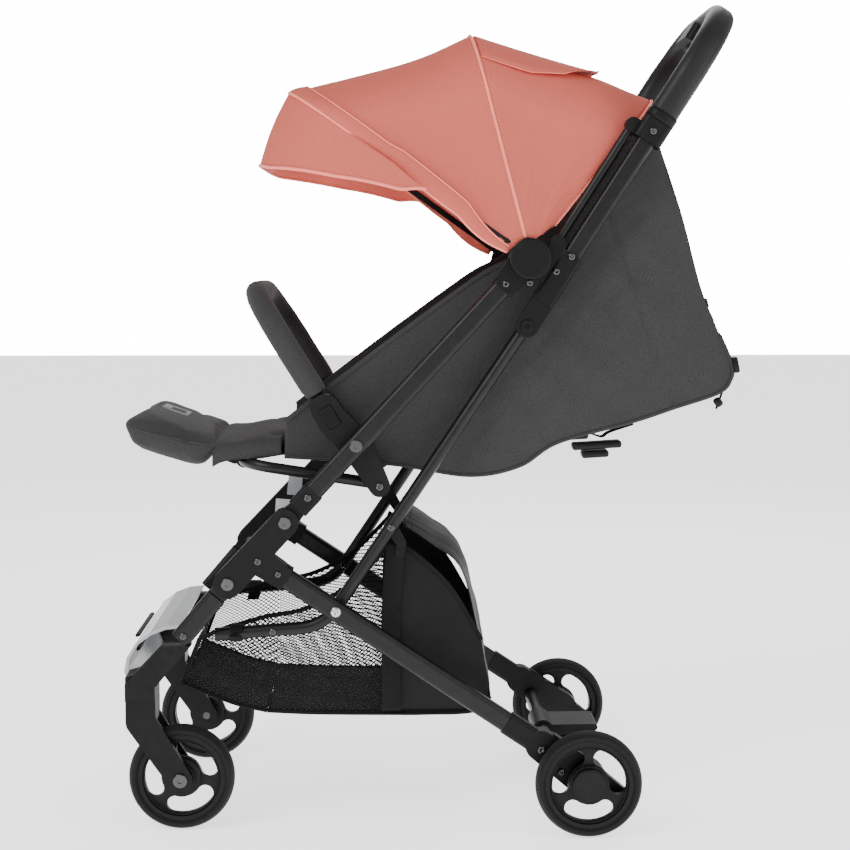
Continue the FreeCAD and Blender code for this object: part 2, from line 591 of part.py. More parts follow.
MID_ANGLE, MID_REACH = 104.0, 283.0
FRONT_ANGLE, FRONT_REACH = 145.0, 356.0
LIP_ANGLE, LIP_REACH = 160.0, 350.0
REAR_ANGLE, REAR_REACH = 66.0, 244.0


def bow(angle, reach, x_eye):
    """Flat bow with an eye round the hub axle at both ends."""
    under = 5.0
    depth = 8.0
    eye = disc(x_eye, x_eye + BOW_T, HUB, CANOPY_EYE_R)
    foot_r = 30.0
    low = polar(0, CANOPY_EYE_R - 6, angle)
    knee = polar(0, foot_r + 8, angle)
    strut = box_tube(x_eye + BOW_T / 2, (low.y, low.z), (knee.y, knee.z), 9, BOW_T, 1.2)
    inset = FABRIC_T + 0.4
    outer = arch(angle, reach, foot_r, inset)
    inner = arch(angle, reach, foot_r, inset + under)
    outer[0].x, outer[-1].x = x_eye + BOW_T, -x_eye - BOW_T
    inner[0].x, inner[-1].x = x_eye, -x_eye
    face = Part.Face(Part.makePolygon(outer + inner[::-1] + outer[:1]))
    direction = unit(angle)
    face.translate(V(0, direction[1], -direction[0]) * (depth / 2))
    band = face.extrude(V(0, -direction[1], direction[0]) * depth)
    body = fuse([band, eye, strut, mirrored(eye), mirrored(strut)])
    return body.cut(disc(-CAP_IN, CAP_IN, HUB, PIN_R + RUN))


def clear_of(panel, frame):
    """Fabric panel with the bow's room cut out of its edge."""
    pieces = panel.cut(frame).Solids
    return max(pieces, key=lambda piece: piece.Volume)


def make_canopy():
    eye_mid = HOUSING_OUT + SIDE_GAP
    eye_front = eye_mid + BOW_T + SIDE_GAP
    mid_bow = bow(MID_ANGLE, MID_REACH, eye_mid)
    front_bow = bow(FRONT_ANGLE, FRONT_REACH, eye_front)
    keep("canopy_mid_bow", mid_bow)
    keep("canopy_front_bow", front_bow)
    seam = 1.6
    rear = sheet([(REAR_ANGLE, REAR_REACH, 60), (84, 262, 50), (MID_ANGLE - seam, MID_REACH, 44)])
    front = sheet([(MID_ANGLE + seam, MID_REACH, 44), (124, 312, 70),
                   (FRONT_ANGLE - seam, FRONT_REACH, 130)])
    keep("canopy_rear", clear_of(rear, mid_bow))
    keep("canopy_front", clear_of(front, mid_bow))
    keep("canopy_visor", sheet([(FRONT_ANGLE + 0.2, FRONT_REACH, 130), (152, 360, 150),
                                (LIP_ANGLE, LIP_REACH, 190)]))

    cap = disc(CAP_IN, CAP_IN + CAP_T, HUB, HOUSING_R - 0.5)
    rim_edge = [e for e in cap.Edges if abs(e.BoundBox.XMin - CAP_IN - CAP_T) < 1e-6]
    cap = cap.makeFillet(2.5, rim_edge)
    cap = cap.cut(disc(CAP_IN - 1, CAP_IN + CAP_T - 4, HUB, PIN_R + RUN))
    keep("hub_caps", pair(cap))


# ---------------------------------------------------------------- seat
def make_seat():
    bumper_dir, _ = heading(BUMPER_FOOT, BUMPER_TOP)
    plate_in, plate_out = LINK_X - 6.5, FRAME_IN - SIDE_GAP - 0.6
    tip = (-57.0, 430.0)
    plate = fuse([bar(plate_in, plate_out, SEAT_PIVOT, tip, 20, 13),
                  bar(plate_in, plate_out, SEAT_PIVOT, step(BUMPER_FOOT, bumper_dir, 6), 20, 19)])
    inner_tip = bar(SEAT_TUBE_X + SEAT_TUBE_R, plate_in, tip, (-70, 437), 9, 9)
    socket = bar(BUMPER_X - 10, plate_out, step(BUMPER_FOOT, bumper_dir, -8),
                 step(BUMPER_FOOT, bumper_dir, 22), 18, 18)
    plug_w, plug_t, plug_deep = 20.0, 12.0, 24.0
    plug_low, plug_top = step(BUMPER_FOOT, bumper_dir, -2), step(BUMPER_FOOT, bumper_dir, 60)
    well = box_tube(BUMPER_X + 3, plug_low, plug_top, plug_w + 0.6, plug_t + 0.6, 3.3)
    button_at = step(BUMPER_FOOT, bumper_dir, 10)
    travel, recess_t = 2.4, 3.5
    button_in, button_out = plate_out - recess_t + travel + 0.3, plate_out + travel
    recess_from, recess_to = step(button_at, bumper_dir, -13.5), step(button_at, bumper_dir, 13.5)
    recess = box_tube(plate_out, recess_from, recess_to, 17, 2 * recess_t, 2)
    bracket = fuse([plate, inner_tip, socket]).cut(well)
    thin = fuse([bracket]).cut(recess).cut(disc(plate_in - 12, plate_out + 1, SEAT_PIVOT, PIN_R + RUN))
    keep("seat_brackets", pair(thin))

    button = box_tube((button_in + button_out) / 2, step(button_at, bumper_dir, -13),
                      step(button_at, bumper_dir, 13), 16, button_out - button_in, 1.4)
    for i in range(5):
        middle = step(button_at, bumper_dir, -8 + 4 * i)
        groove = box_tube(button_out, step(middle, bumper_dir, -0.7), step(middle, bumper_dir, 0.7), 12,
                          1.4, 0.3)
        button = button.cut(groove)
    keep_sides("bumper_button", button)

    # bumper bar: foam-covered hoop with a plug at each end
    start = step(BUMPER_FOOT, bumper_dir, 42)
    corners = [V(BUMPER_X, start[0], start[1]), V(BUMPER_X, BUMPER_TOP[0], BUMPER_TOP[1]),
               V(-BUMPER_X, BUMPER_TOP[0], BUMPER_TOP[1]), V(-BUMPER_X, start[0], start[1])]
    hoop = pipe(corners, BUMPER_R, BUMPER_CORNER_R)
    plug = box_tube(BUMPER_X + 3, step(start, bumper_dir, -plug_deep - 16), step(start, bumper_dir, 1),
                    plug_w, plug_t, 3)
    keep("bumper_bar", fuse([hoop, plug, mirrored(plug)]))

    # seat tube: a hoop below the cushion, its cross part at the front
    ends = [(-62.0, 431.0), LEGREST_AXIS]
    side = [V(SEAT_TUBE_X, y, z) for y, z in ends]
    other = [V(-p.x, p.y, p.z) for p in reversed(side)]
    keep("seat_tube", pipe(side + other, SEAT_TUBE_R, 40, LINK_WALL))

    board_z = 466.0
    board = slab(-SEAT_HALF + 6, SEAT_HALF - 6,
                 [(-212, board_z - 1), (56, board_z - 1), (56, board_z + 3),
                                                 (-212, board_z + 3)])
    tongue = fuse([slab(TONGUE_X, TONGUE_X + TONGUE_W,
                        [(50, board_z - 1), (67, board_z - 1), (68.5, 474), (59.4, 474),
                                                       (59.4, board_z + 3), (50, board_z + 3)]),
                   disc(TONGUE_X, TONGUE_X + TONGUE_W, BACK_HINGE, KNUCKLE_R)])
    board = fuse([board, tongue, mirrored(tongue)])
    keep("seat_board", board.cut(disc(-SEAT_HALF, SEAT_HALF, BACK_HINGE, HINGE_R + RUN)))
    cushion_z = board_z + 3.3
    cushion = slab(-SEAT_HALF, SEAT_HALF, [(-208, cushion_z), (-226, 488), (-222, 505), (-205, 510),
                                           (-150, 509), (40, 498), (58, 486), (57, cushion_z)])
    slot = slab(-13, 13, [(-83.5, 488), (-77, 488), (-76, 520), (-82.5, 520)])
    keep("seat_cushion", cushion.cut(slot))

    outline = [(-176, 462.5), (-174, 508), (78, 694), (108, 690), (128, 650), (206, 752), (274, 850),
               (290, 856),
               (317, 772), (344, 675), (362, 631), (384, 580), (385, 566), (368, 543), (312, 524),
               (261, 507),
               (167, 481), (118, 451), (56, 439), (-30, 452)]
    inside = [(-190, 464.5), (-176, 508), (78, 700), (108, 700), (206, 800), (260, 900), (286, 859),
              (313.5, 772),
              (340.5, 674), (358.5, 630), (381.5, 579), (382.5, 567.5), (366.8, 545.5), (311.2, 526.2),
              (260.2, 509.2), (166.2, 483.3), (117.2, 453.2), (56, 441.2), (-30, 454.2), (-176, 464.5)]
    keep("seat_shell", shell_of(outline, SHELL_HALF, FABRIC_T, inside))

    # harness: crotch strap with its buckle lying back over the cushion
    strap = slab(-12, 12, [(-82.6, 489), (-78.6, 489), (-74, 531), (-78, 531)])
    buckle = box_tube(0, (-76, 530), (-58, 568), 14, 52, 5)
    keep("harness_buckle", fuse([strap, buckle]))

    # footrest: clamps on the seat tube's cross part, arms and the pad they carry
    arm_in, arm_out = 78.0, 100.0
    clamps = []
    for x0, x1 in ((arm_in, arm_out), (-arm_out, -arm_in)):
        ring = fuse([disc(x0, x1, LEGREST_AXIS, SEAT_TUBE_R + 4),
                     bar(x0, x1, step(LEGREST_AXIS, (-1, 0), 12), (-345, 497), 6, 5)])
        clamps.append(ring.cut(disc(x0 - 1, x1 + 1, LEGREST_AXIS, SEAT_TUBE_R + RUN)))
    tie = box_tube(0, (-344, 493), (-338, 491), 8, 2 * arm_in, 1)
    frame = fuse(clamps + [tie])
    keep("footrest_frame", frame)
    pad = slab(-PAD_HALF, PAD_HALF, [(-375, 528), (-358, 532), (-340, 531), (-308, 522), (-243, 511),
                                     (-239, 500), (-258, 468),
                           (-275, 447), (-285, 449), (-373, 476), (-378, 494), (-386.5, 516)])
    keep("footrest_pad", pad.cut(frame))

    # backrest: board with its cushion, reclined
    back_dir = unit(BACK_ANGLE)
    panel = slab(-SEAT_HALF, SEAT_HALF, [step(BACK_HINGE, back_dir, 0, -6),
                                         step(BACK_HINGE, back_dir, BACK_LEN, -6),
                                         step(BACK_HINGE, back_dir, BACK_LEN - 8, BACK_T - 8),
                                         step(BACK_HINGE, back_dir, 30, BACK_T - 8),
                                         step(BACK_HINGE, back_dir, 4, 6)])
    barrel = disc(-SEAT_HALF, SEAT_HALF, BACK_HINGE, KNUCKLE_R)
    notch = disc(TONGUE_X - SIDE_GAP, TONGUE_X + TONGUE_W + SIDE_GAP, BACK_HINGE, KNUCKLE_R + 3)
    rod = disc(-SEAT_HALF + 2, SEAT_HALF - 2, BACK_HINGE, HINGE_R)
    keep("backrest", fuse([fuse([panel, barrel]).cut(fuse([notch, mirrored(notch)])), rod]))


make_wheels()
make_base()
make_front_legs()
make_front_tubes()
make_links()
make_handle()
make_canopy()
make_seat()

os.makedirs("parts", exist_ok=True)
for node, shape in PARTS.items():
    shape.exportStep(os.path.join("parts", node + ".step"))
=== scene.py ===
"""Looks of a compact folding baby stroller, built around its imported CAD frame.

Every size is in metres in the frame's own axes: +Z up, the stroller faces -Y, +X is the child's left.
Side-view points are (y, z) pairs. Each sub-assembly is a class with its sizes as fields.
"""

import json
import logging
import math
from dataclasses import dataclass
from enum import Enum
from typing import Callable, Iterable, Optional, Sequence

import bpy
import numpy as np
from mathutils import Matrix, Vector

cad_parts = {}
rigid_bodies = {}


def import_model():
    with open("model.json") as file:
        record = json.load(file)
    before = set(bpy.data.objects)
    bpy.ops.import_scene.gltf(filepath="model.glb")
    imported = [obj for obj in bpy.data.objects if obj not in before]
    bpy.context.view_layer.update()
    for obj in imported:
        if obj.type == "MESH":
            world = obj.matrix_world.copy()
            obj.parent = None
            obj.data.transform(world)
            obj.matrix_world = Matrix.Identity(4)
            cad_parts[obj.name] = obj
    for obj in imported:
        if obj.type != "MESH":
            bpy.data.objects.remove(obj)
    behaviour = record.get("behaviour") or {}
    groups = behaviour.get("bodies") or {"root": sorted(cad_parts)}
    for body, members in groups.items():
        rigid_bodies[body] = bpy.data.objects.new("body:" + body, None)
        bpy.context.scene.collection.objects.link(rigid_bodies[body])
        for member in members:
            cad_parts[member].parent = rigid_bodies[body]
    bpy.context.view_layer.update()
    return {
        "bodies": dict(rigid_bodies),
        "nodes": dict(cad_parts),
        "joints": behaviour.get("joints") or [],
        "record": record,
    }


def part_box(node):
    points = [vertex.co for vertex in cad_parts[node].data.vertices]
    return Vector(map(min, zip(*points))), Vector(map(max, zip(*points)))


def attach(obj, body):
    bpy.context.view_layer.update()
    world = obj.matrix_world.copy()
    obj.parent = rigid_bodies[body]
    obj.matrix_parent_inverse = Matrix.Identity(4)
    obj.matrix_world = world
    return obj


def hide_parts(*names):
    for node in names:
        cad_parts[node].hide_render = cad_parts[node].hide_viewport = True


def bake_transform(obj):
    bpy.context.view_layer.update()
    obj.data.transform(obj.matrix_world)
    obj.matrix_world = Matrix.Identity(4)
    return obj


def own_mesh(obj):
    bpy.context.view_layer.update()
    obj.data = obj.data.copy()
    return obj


log = logging.getLogger("stroller")
SEED = 11
SideView = tuple[float, float]
Array = np.ndarray


# ---------------------------------------------------------------- numpy surfaces
def unit(v: Array) -> Array:
    """Vectors along the last axis scaled to length one."""
    return v / np.maximum(np.linalg.norm(v, axis=-1, keepdims=True), 1e-12)


def spline(points: Sequence[Sequence[float]], count: int) -> Array:
    """Smooth curve through points, by uniform Catmull-Rom pieces.

    Args:
        points: control points, each of any dimension.
        count: number of samples, evenly spaced along the curve's length.

    Returns:
        Array of count points.
    """
    p = np.asarray(points, float)
    p = np.vstack([2 * p[0] - p[1], p, 2 * p[-1] - p[-2]])
    t = np.linspace(0, 1, 17)[:-1, None]
    pieces = []
    for a, b, c, d in zip(p, p[1:], p[2:], p[3:]):
        square, cube = 2 * a - 5 * b + 4 * c - d, 3 * b - a - 3 * c + d
        pieces.append(0.5 * (2 * b + (c - a) * t + square * t**2 + cube * t**3))
    fine = np.vstack(pieces + [p[-2:-1]])
    return resample(fine, count)


def resample(points: Array, count: int) -> Array:
    """Points spaced evenly along a polyline's length."""
    p = np.asarray(points, float)
    s = np.concatenate([[0], np.cumsum(np.linalg.norm(np.diff(p, axis=0), axis=1))])
    at = np.linspace(0, s[-1], count)
    return np.stack([np.interp(at, s, p[:, k]) for k in range(p.shape[1])], axis=1)


def ripple(a: Array, b: Array, scale: float, seed: int = 0) -> Array:
    """Soft cloth waves: a fixed sum of sines over two coordinates, between about -1 and 1.

    Args:
        a: first coordinate in metres.
        b: second coordinate in metres.
        scale: length of the longest wave in metres.
        seed: chooses the set of waves.

    Returns:
        Array of the shape of a.
    """
    rng = np.random.default_rng(SEED + seed)
    out = np.zeros(np.broadcast(a, b).shape)
    total = 0.0
    for octave in range(3):
        for _ in range(3):
            angle, phase = rng.uniform(0, math.tau, 2)
            k = math.tau / (scale / 1.7**octave)
            weight = 0.6**octave
            out = out + weight * np.sin(k * (a * math.cos(angle) + b * math.sin(angle)) + phase)
            total += weight * 0.6
    return out / total


def add_mesh(name: str, verts: Array, faces: Array | list, uv: Optional[Array] = None,
             smooth: bool = True) -> bpy.types.Object:
    """Object from arrays, standing at the origin.

    Args:
        name: object name.
        verts: (n, 3) corner positions.
        faces: quads or triangles as rows of corner numbers.
        uv: (n, 2) surface coordinates in metres, stored as a UV map.
        smooth: shades the faces smooth.

    Returns:
        The new object, linked to the scene.
    """
    mesh = bpy.data.meshes.new(name)
    mesh.from_pydata(np.asarray(verts, float).tolist(), [], [list(map(int, f)) for f in faces])
    if uv is not None:
        layer = mesh.uv_layers.new(name="cloth")
        loops = np.zeros(len(mesh.loops), int)
        mesh.loops.foreach_get("vertex_index", loops)
        layer.data.foreach_set("uv", np.asarray(uv, float)[loops].ravel())
    mesh.polygons.foreach_set("use_smooth", [smooth] * len(mesh.polygons))
    mesh.update()
    obj = bpy.data.objects.new(name, mesh)
    bpy.context.scene.collection.objects.link(obj)
    return obj


def grid_faces(rows: int, cols: int, closed: bool = False, start: int = 0) -> Array:
    """Quads of a grid of rows by cols corners; closed joins the last column to the first."""
    i, j = np.meshgrid(np.arange(rows - 1), np.arange(cols if closed else cols - 1), indexing="ij")
    k = (j + 1) % cols
    quads = np.stack([i * cols + j, i * cols + k, (i + 1) * cols + k, (i + 1) * cols + j], axis=-1)
    return quads.reshape(-1, 4) + start


def grid_normals(p: Array) -> Array:
    """Unit normals of a grid surface from the cross product of its two tangents."""
    return unit(np.cross(np.gradient(p, axis=0), np.gradient(p, axis=1)))


def grid_uv(p: Array) -> Array:
    """Surface coordinates in metres: mean running length along rows and columns."""
    du = np.linalg.norm(np.diff(p, axis=0), axis=2).mean(axis=1)
    dv = np.linalg.norm(np.diff(p, axis=1), axis=2).mean(axis=0)
    u = np.concatenate([[0], np.cumsum(du)])
    v = np.concatenate([[0], np.cumsum(dv)])
    return np.stack(np.meshgrid(u, v, indexing="ij"), axis=-1)


def cloth_panel(name: str, p: Array, thickness: float, outward: Optional[Array] = None) -> bpy.types.Object:
    """Thin closed panel: the grid p, a copy of it moved in by the thickness, and a strip round the edge.

    Args:
        name: object name.
        p: (rows, cols, 3) outer surface.
        thickness: distance between the two faces.
        outward: a direction that the outer face should look towards, or None to keep the grid's own.

    Returns:
        The new object.
    """
    n = grid_normals(p)
    if outward is not None and (n * outward).sum() < 0:
        p = p[:, ::-1]
        n = grid_normals(p)
    rows, cols = p.shape[:2]
    uv = grid_uv(p).reshape(-1, 2)
    outer, inner = p.reshape(-1, 3), (p - n * thickness).reshape(-1, 3)
    count = rows * cols
    top = grid_faces(rows, cols)
    bottom = grid_faces(rows, cols, start=count)[:, ::-1]
    ring = np.concatenate([np.arange(cols), np.arange(1, rows) * cols + cols - 1,
                           (rows - 1) * cols + np.arange(cols - 2, -1, -1),
                           np.arange(rows - 2, 0, -1) * cols])
    after = np.roll(ring, -1)
    rim = np.stack([ring, ring + count, after + count, after], axis=-1)
    return add_mesh(name, np.vstack([outer, inner]), np.vstack([top, bottom, rim]), np.vstack([uv, uv]))


def frames_along(path: Array, up: Array, closed: bool = False) -> tuple[Array, Array]:
    """Two unit side vectors at each point of a path: across, and as near to up as the path allows."""
    if closed:
        tangent = unit(np.roll(path, -1, axis=0) - np.roll(path, 1, axis=0))
    else:
        tangent = unit(np.gradient(path, axis=0))
    across = unit(np.cross(tangent, np.broadcast_to(up, path.shape)))
    return across, unit(np.cross(across, tangent))


def sweep(name: str, path: Array, profile: Callable[[Array], Array] | Array,
          up: Sequence[float] = (1, 0, 0),
          closed: bool = False, scale: Optional[Array] = None) -> bpy.types.Object:
    """Solid made by carrying a closed profile along a path.

    Args:
        name: object name.
        path: (n, 3) points.
        profile: (k, 2) offsets across and up, counter-clockwise seen against the path.
        up: direction that the profile's second axis leans to.
        closed: joins the path's end to its start.
        scale: size factor at each point of the path.

    Returns:
        The new object.
    """
    path = np.asarray(path, float)
    across, lift = frames_along(path, np.asarray(up, float), closed)
    size = np.ones(len(path)) if scale is None else np.asarray(scale, float)
    offset = across[:, None] * profile[None, :, :1] + lift[:, None] * profile[None, :, 1:]
    ring = path[:, None] + offset * size[:, None, None]
    rows, cols = ring.shape[:2]
    length = np.concatenate([[0], np.cumsum(np.linalg.norm(np.diff(path, axis=0), axis=1))])
    around = np.concatenate([[0], np.cumsum(np.linalg.norm(np.diff(profile, axis=0), axis=1))])
    uv = np.stack(np.meshgrid(length, around, indexing="ij"), axis=-1).reshape(-1, 2)
    verts = ring.reshape(-1, 3)
    if closed:
        faces = [list(f) for f in grid_faces(rows, cols, True)]
        last = (rows - 1) * cols
        faces += [[last + j, last + (j + 1) % cols, (j + 1) % cols, j] for j in range(cols)]
        return add_mesh(name, verts, faces, uv)
    verts = np.vstack([verts, path[:1], path[-1:]])
    uv = np.vstack([uv, [[0, 0]], [[length[-1], 0]]])
    head, tail = rows * cols, rows * cols + 1
    faces = [list(f) for f in grid_faces(rows, cols, True)]
    faces += [[head, (j + 1) % cols, j] for j in range(cols)]
    base = (rows - 1) * cols
    faces += [[tail, base + j, base + (j + 1) % cols] for j in range(cols)]
    return add_mesh(name, verts, faces, uv)


def ring_profile(radius: float, count: int = 12) -> Array:
    """Circle as a profile."""
    t = np.linspace(0, math.tau, count, endpoint=False)
    return np.column_stack([np.cos(t), np.sin(t)]) * radius


def box_profile(width: float, height: float, corner: float, per_corner: int = 4) -> Array:
    """Rectangle with round corners as a profile, width across and height up."""
    out = []
    for i, (sx, sy) in enumerate(((1, 1), (-1, 1), (-1, -1), (1, -1))):
        t = math.pi / 2 * i + np.linspace(0, math.pi / 2, per_corner)
        out.append(np.column_stack([sx * (width / 2 - corner) + np.cos(t) * corner,
                                    sy * (height / 2 - corner) + np.sin(t) * corner]))
    return np.vstack(out)


def lathe(name: str, profile: Array, centre: Sequence[float], axis_x: float = 1.0,
          count: int = 40) -> bpy.types.Object:
    """Solid of revolution about a line along X; profile holds (x outward, radius) pairs."""
    t = np.linspace(0, math.tau, count, endpoint=False)
    x = centre[0] + axis_x * profile[:, 0]
    y = centre[1] + profile[:, 1][:, None] * np.cos(t)[None]
    z = centre[2] + profile[:, 1][:, None] * np.sin(t)[None]
    verts = np.stack([np.broadcast_to(x[:, None], y.shape), y, z], axis=-1).reshape(-1, 3)
    faces = grid_faces(len(profile), count, True)
    if axis_x < 0:
        faces = faces[:, ::-1]
    return add_mesh(name, verts, faces[:, ::-1])


def block(name: str, centre: Sequence[float], size: Sequence[float], axes: Optional[Array] = None,
          bevel: float = 0.0015) -> bpy.types.Object:
    """Moulded block with rounded edges.

    Args:
        name: object name.
        centre: middle of the block.
        size: lengths along its three axes.
        axes: rows are the block's axes; world axes when None.
        bevel: edge radius.

    Returns:
        The new object.
    """
    axes = np.eye(3) if axes is None else np.asarray(axes, float)
    signs = np.array([[sx, sy, sz] for sx in (-1, 1) for sy in (-1, 1) for sz in (-1, 1)])
    corners = signs * np.asarray(size) / 2
    verts = corners @ axes + np.asarray(centre)
    faces = [[0, 1, 3, 2], [4, 6, 7, 5], [0, 4, 5, 1], [2, 3, 7, 6], [0, 2, 6, 4], [1, 5, 7, 3]]
    obj = add_mesh(name, verts, faces, smooth=True)
    soften(obj, bevel, 3)
    return obj


def soften(obj: bpy.types.Object, width: float, segments: int = 2) -> None:
    """Rounds every edge of a small moulded piece."""
    mod = obj.modifiers.new("edge", "BEVEL")
    mod.width, mod.segments, mod.limit_method = width, segments, "ANGLE"
    mod.harden_normals = False


def side_axes(direction: SideView) -> Array:
    """Block axes: along a side-view direction, across it in the side view, and along X."""
    d = np.array([0.0, direction[0], direction[1]])
    d = d / np.linalg.norm(d)
    return np.array([d, [0.0, -d[2], d[1]], [1.0, 0.0, 0.0]])


# ---------------------------------------------------------------- finishes
class Nodes:
    """Short-hand for building a node tree."""

    def __init__(self, tree: bpy.types.NodeTree) -> None:
        """Wraps one tree."""
        self.tree = tree

    def add(self, kind: str, values: Optional[dict] = None, **settings: object) -> bpy.types.Node:
        """Adds a node; settings are its properties and values its unlinked inputs."""
        node = self.tree.nodes.new(kind)
        for key, value in settings.items():
            setattr(node, key, value)
        for key, value in (values or {}).items():
            node.inputs[key].default_value = value
        return node

    def link(self, a: bpy.types.NodeSocket, b: bpy.types.NodeSocket) -> None:
        """Links two sockets."""
        self.tree.links.new(a, b)

    def math(self, operation: str, a: object, b: object = 0.0) -> bpy.types.NodeSocket:
        """Math node on sockets or numbers."""
        node = self.add("ShaderNodeMath", operation=operation)
        for i, value in enumerate((a, b)):
            if isinstance(value, bpy.types.NodeSocket):
                self.link(value, node.inputs[i])
            else:
                node.inputs[i].default_value = value
        return node.outputs[0]


def new_group(name: str, inputs: dict[str, tuple[str, object]],
              outputs: Iterable[str]) -> tuple[bpy.types.NodeTree, Nodes, bpy.types.Node, bpy.types.Node]:
    """Empty shader group with named sockets."""
    tree = bpy.data.node_groups.new(name, "ShaderNodeTree")
    for label, (kind, value) in inputs.items():
        socket = tree.interface.new_socket(name=label, in_out="INPUT", socket_type=kind)
        if value is not None:
            socket.default_value = value
    for label in outputs:
        tree.interface.new_socket(name=label, in_out="OUTPUT", socket_type="NodeSocketFloat")
    nodes = Nodes(tree)
    return tree, nodes, nodes.add("NodeGroupInput"), nodes.add("NodeGroupOutput")


class Effects:
    """Shader groups that several finishes share."""

    def __init__(self) -> None:
        """Builds each group once."""
        self.weave = self._weave()
        self.grain = self._grain()
        self.wear = self._wear()
        self.net = self._net()

    @staticmethod
    def _weave() -> bpy.types.NodeTree:
        """Crossing yarns from two sine waves at right angles, with noise for light and dark yarns."""
        tree, n, inp, out = new_group("woven_cloth",
                                      {"Vector": ("NodeSocketVector", None),
                                       "Pitch": ("NodeSocketFloat", 900.0)},
                                      ("Height", "Melange", "Slub"))
        split = n.add("ShaderNodeSeparateXYZ")
        scaled = n.add("ShaderNodeVectorMath", operation="SCALE")
        n.link(inp.outputs["Vector"], scaled.inputs[0])
        n.link(inp.outputs["Pitch"], scaled.inputs["Scale"])
        n.link(scaled.outputs[0], split.inputs[0])
        warp = n.math("SINE", n.math("ADD", split.outputs[0], n.math("MULTIPLY", split.outputs[2], 0.5)))
        weft = n.math("SINE", n.math("ADD", split.outputs[1], n.math("MULTIPLY", split.outputs[2], 0.9)))
        height = n.math("ADD", n.math("MULTIPLY", n.math("MULTIPLY", warp, weft), 0.5), 0.5)
        yarn = n.add("ShaderNodeTexNoise", {"Scale": 0.21, "Detail": 2.0})
        n.link(scaled.outputs[0], yarn.inputs["Vector"])
        slub = n.add("ShaderNodeTexNoise", {"Scale": 0.012, "Detail": 3.0})
        n.link(scaled.outputs[0], slub.inputs["Vector"])
        n.link(height, out.inputs["Height"])
        n.link(yarn.outputs["Fac"], out.inputs["Melange"])
        n.link(slub.outputs["Fac"], out.inputs["Slub"])
        return tree

    @staticmethod
    def _grain() -> bpy.types.NodeTree:
        """Moulded grain: fine cells with a broad cloudiness over them."""
        tree, n, inp, out = new_group("moulded_grain",
                                      {"Vector": ("NodeSocketVector", None),
                                       "Scale": ("NodeSocketFloat", 1500.0)},
                                      ("Height", "Cloud"))
        cells = n.add("ShaderNodeTexVoronoi", {"Scale": 1500.0}, feature="SMOOTH_F1")
        n.link(inp.outputs["Vector"], cells.inputs["Vector"])
        n.link(inp.outputs["Scale"], cells.inputs["Scale"])
        cloud = n.add("ShaderNodeTexNoise", {"Scale": 22.0, "Detail": 4.0})
        n.link(inp.outputs["Vector"], cloud.inputs["Vector"])
        n.link(cells.outputs["Distance"], out.inputs["Height"])
        n.link(cloud.outputs["Fac"], out.inputs["Cloud"])
        return tree

    @staticmethod
    def _wear() -> bpy.types.NodeTree:
        """Edge wear: where the surface is sharply convex, broken up by noise."""
        tree, n, inp, out = new_group("edge_wear",
                                      {"Vector": ("NodeSocketVector", None),
                                       "Amount": ("NodeSocketFloat", 0.5)}, ("Wear",))
        geometry = n.add("ShaderNodeNewGeometry")
        sharp = n.add("ShaderNodeMapRange", {"From Min": 0.56, "From Max": 0.70})
        n.link(geometry.outputs["Pointiness"], sharp.inputs["Value"])
        noise = n.add("ShaderNodeTexNoise", {"Scale": 90.0, "Detail": 5.0})
        n.link(inp.outputs["Vector"], noise.inputs["Vector"])
        chips = n.add("ShaderNodeMapRange", {"From Min": 0.42, "From Max": 0.62})
        n.link(noise.outputs["Fac"], chips.inputs["Value"])
        worn = n.math("MULTIPLY", sharp.outputs[0], chips.outputs[0])
        n.link(n.math("MULTIPLY", worn, inp.outputs["Amount"]), out.inputs["Wear"])
        return tree

    @staticmethod
    def _net() -> bpy.types.NodeTree:
        """Diamond net on surface coordinates: a thread where a diagonal saw-tooth is near one half."""
        tree, n, inp, out = new_group("diamond_net",
                                      {"Vector": ("NodeSocketVector", None),
                                       "Cells": ("NodeSocketFloat", 130.0),
                                       "Thread": ("NodeSocketFloat", 0.17)},
                                      ("Thread",))
        split = n.add("ShaderNodeSeparateXYZ")
        n.link(inp.outputs["Vector"], split.inputs[0])
        u = n.math("MULTIPLY", split.outputs[0], inp.outputs["Cells"])
        v = n.math("MULTIPLY", n.math("MULTIPLY", split.outputs[1], 1.7), inp.outputs["Cells"])
        threads = []
        for sign in ("ADD", "SUBTRACT"):
            saw = n.math("FRACT", n.math("ADD", n.math(sign, u, v), 500.0))
            edge = n.math("ABSOLUTE", n.math("SUBTRACT", saw, 0.5))
            threads.append(n.math("LESS_THAN", edge, inp.outputs["Thread"]))
        n.link(n.math("MAXIMUM", threads[0], threads[1]), out.inputs["Thread"])
        return tree


class Mapping(Enum):
    """Which coordinates a pattern follows."""

    OBJECT = "Object"
    SURFACE = "UV"


def srgb(red: int, green: int, blue: int) -> tuple[float, float, float, float]:
    """Linear colour of an 8-bit display colour."""
    levels = (red, green, blue)
    linear = [c / 255 / 12.92 if c <= 10 else ((c / 255 + 0.055) / 1.055) ** 2.4 for c in levels]
    return (*linear, 1.0)


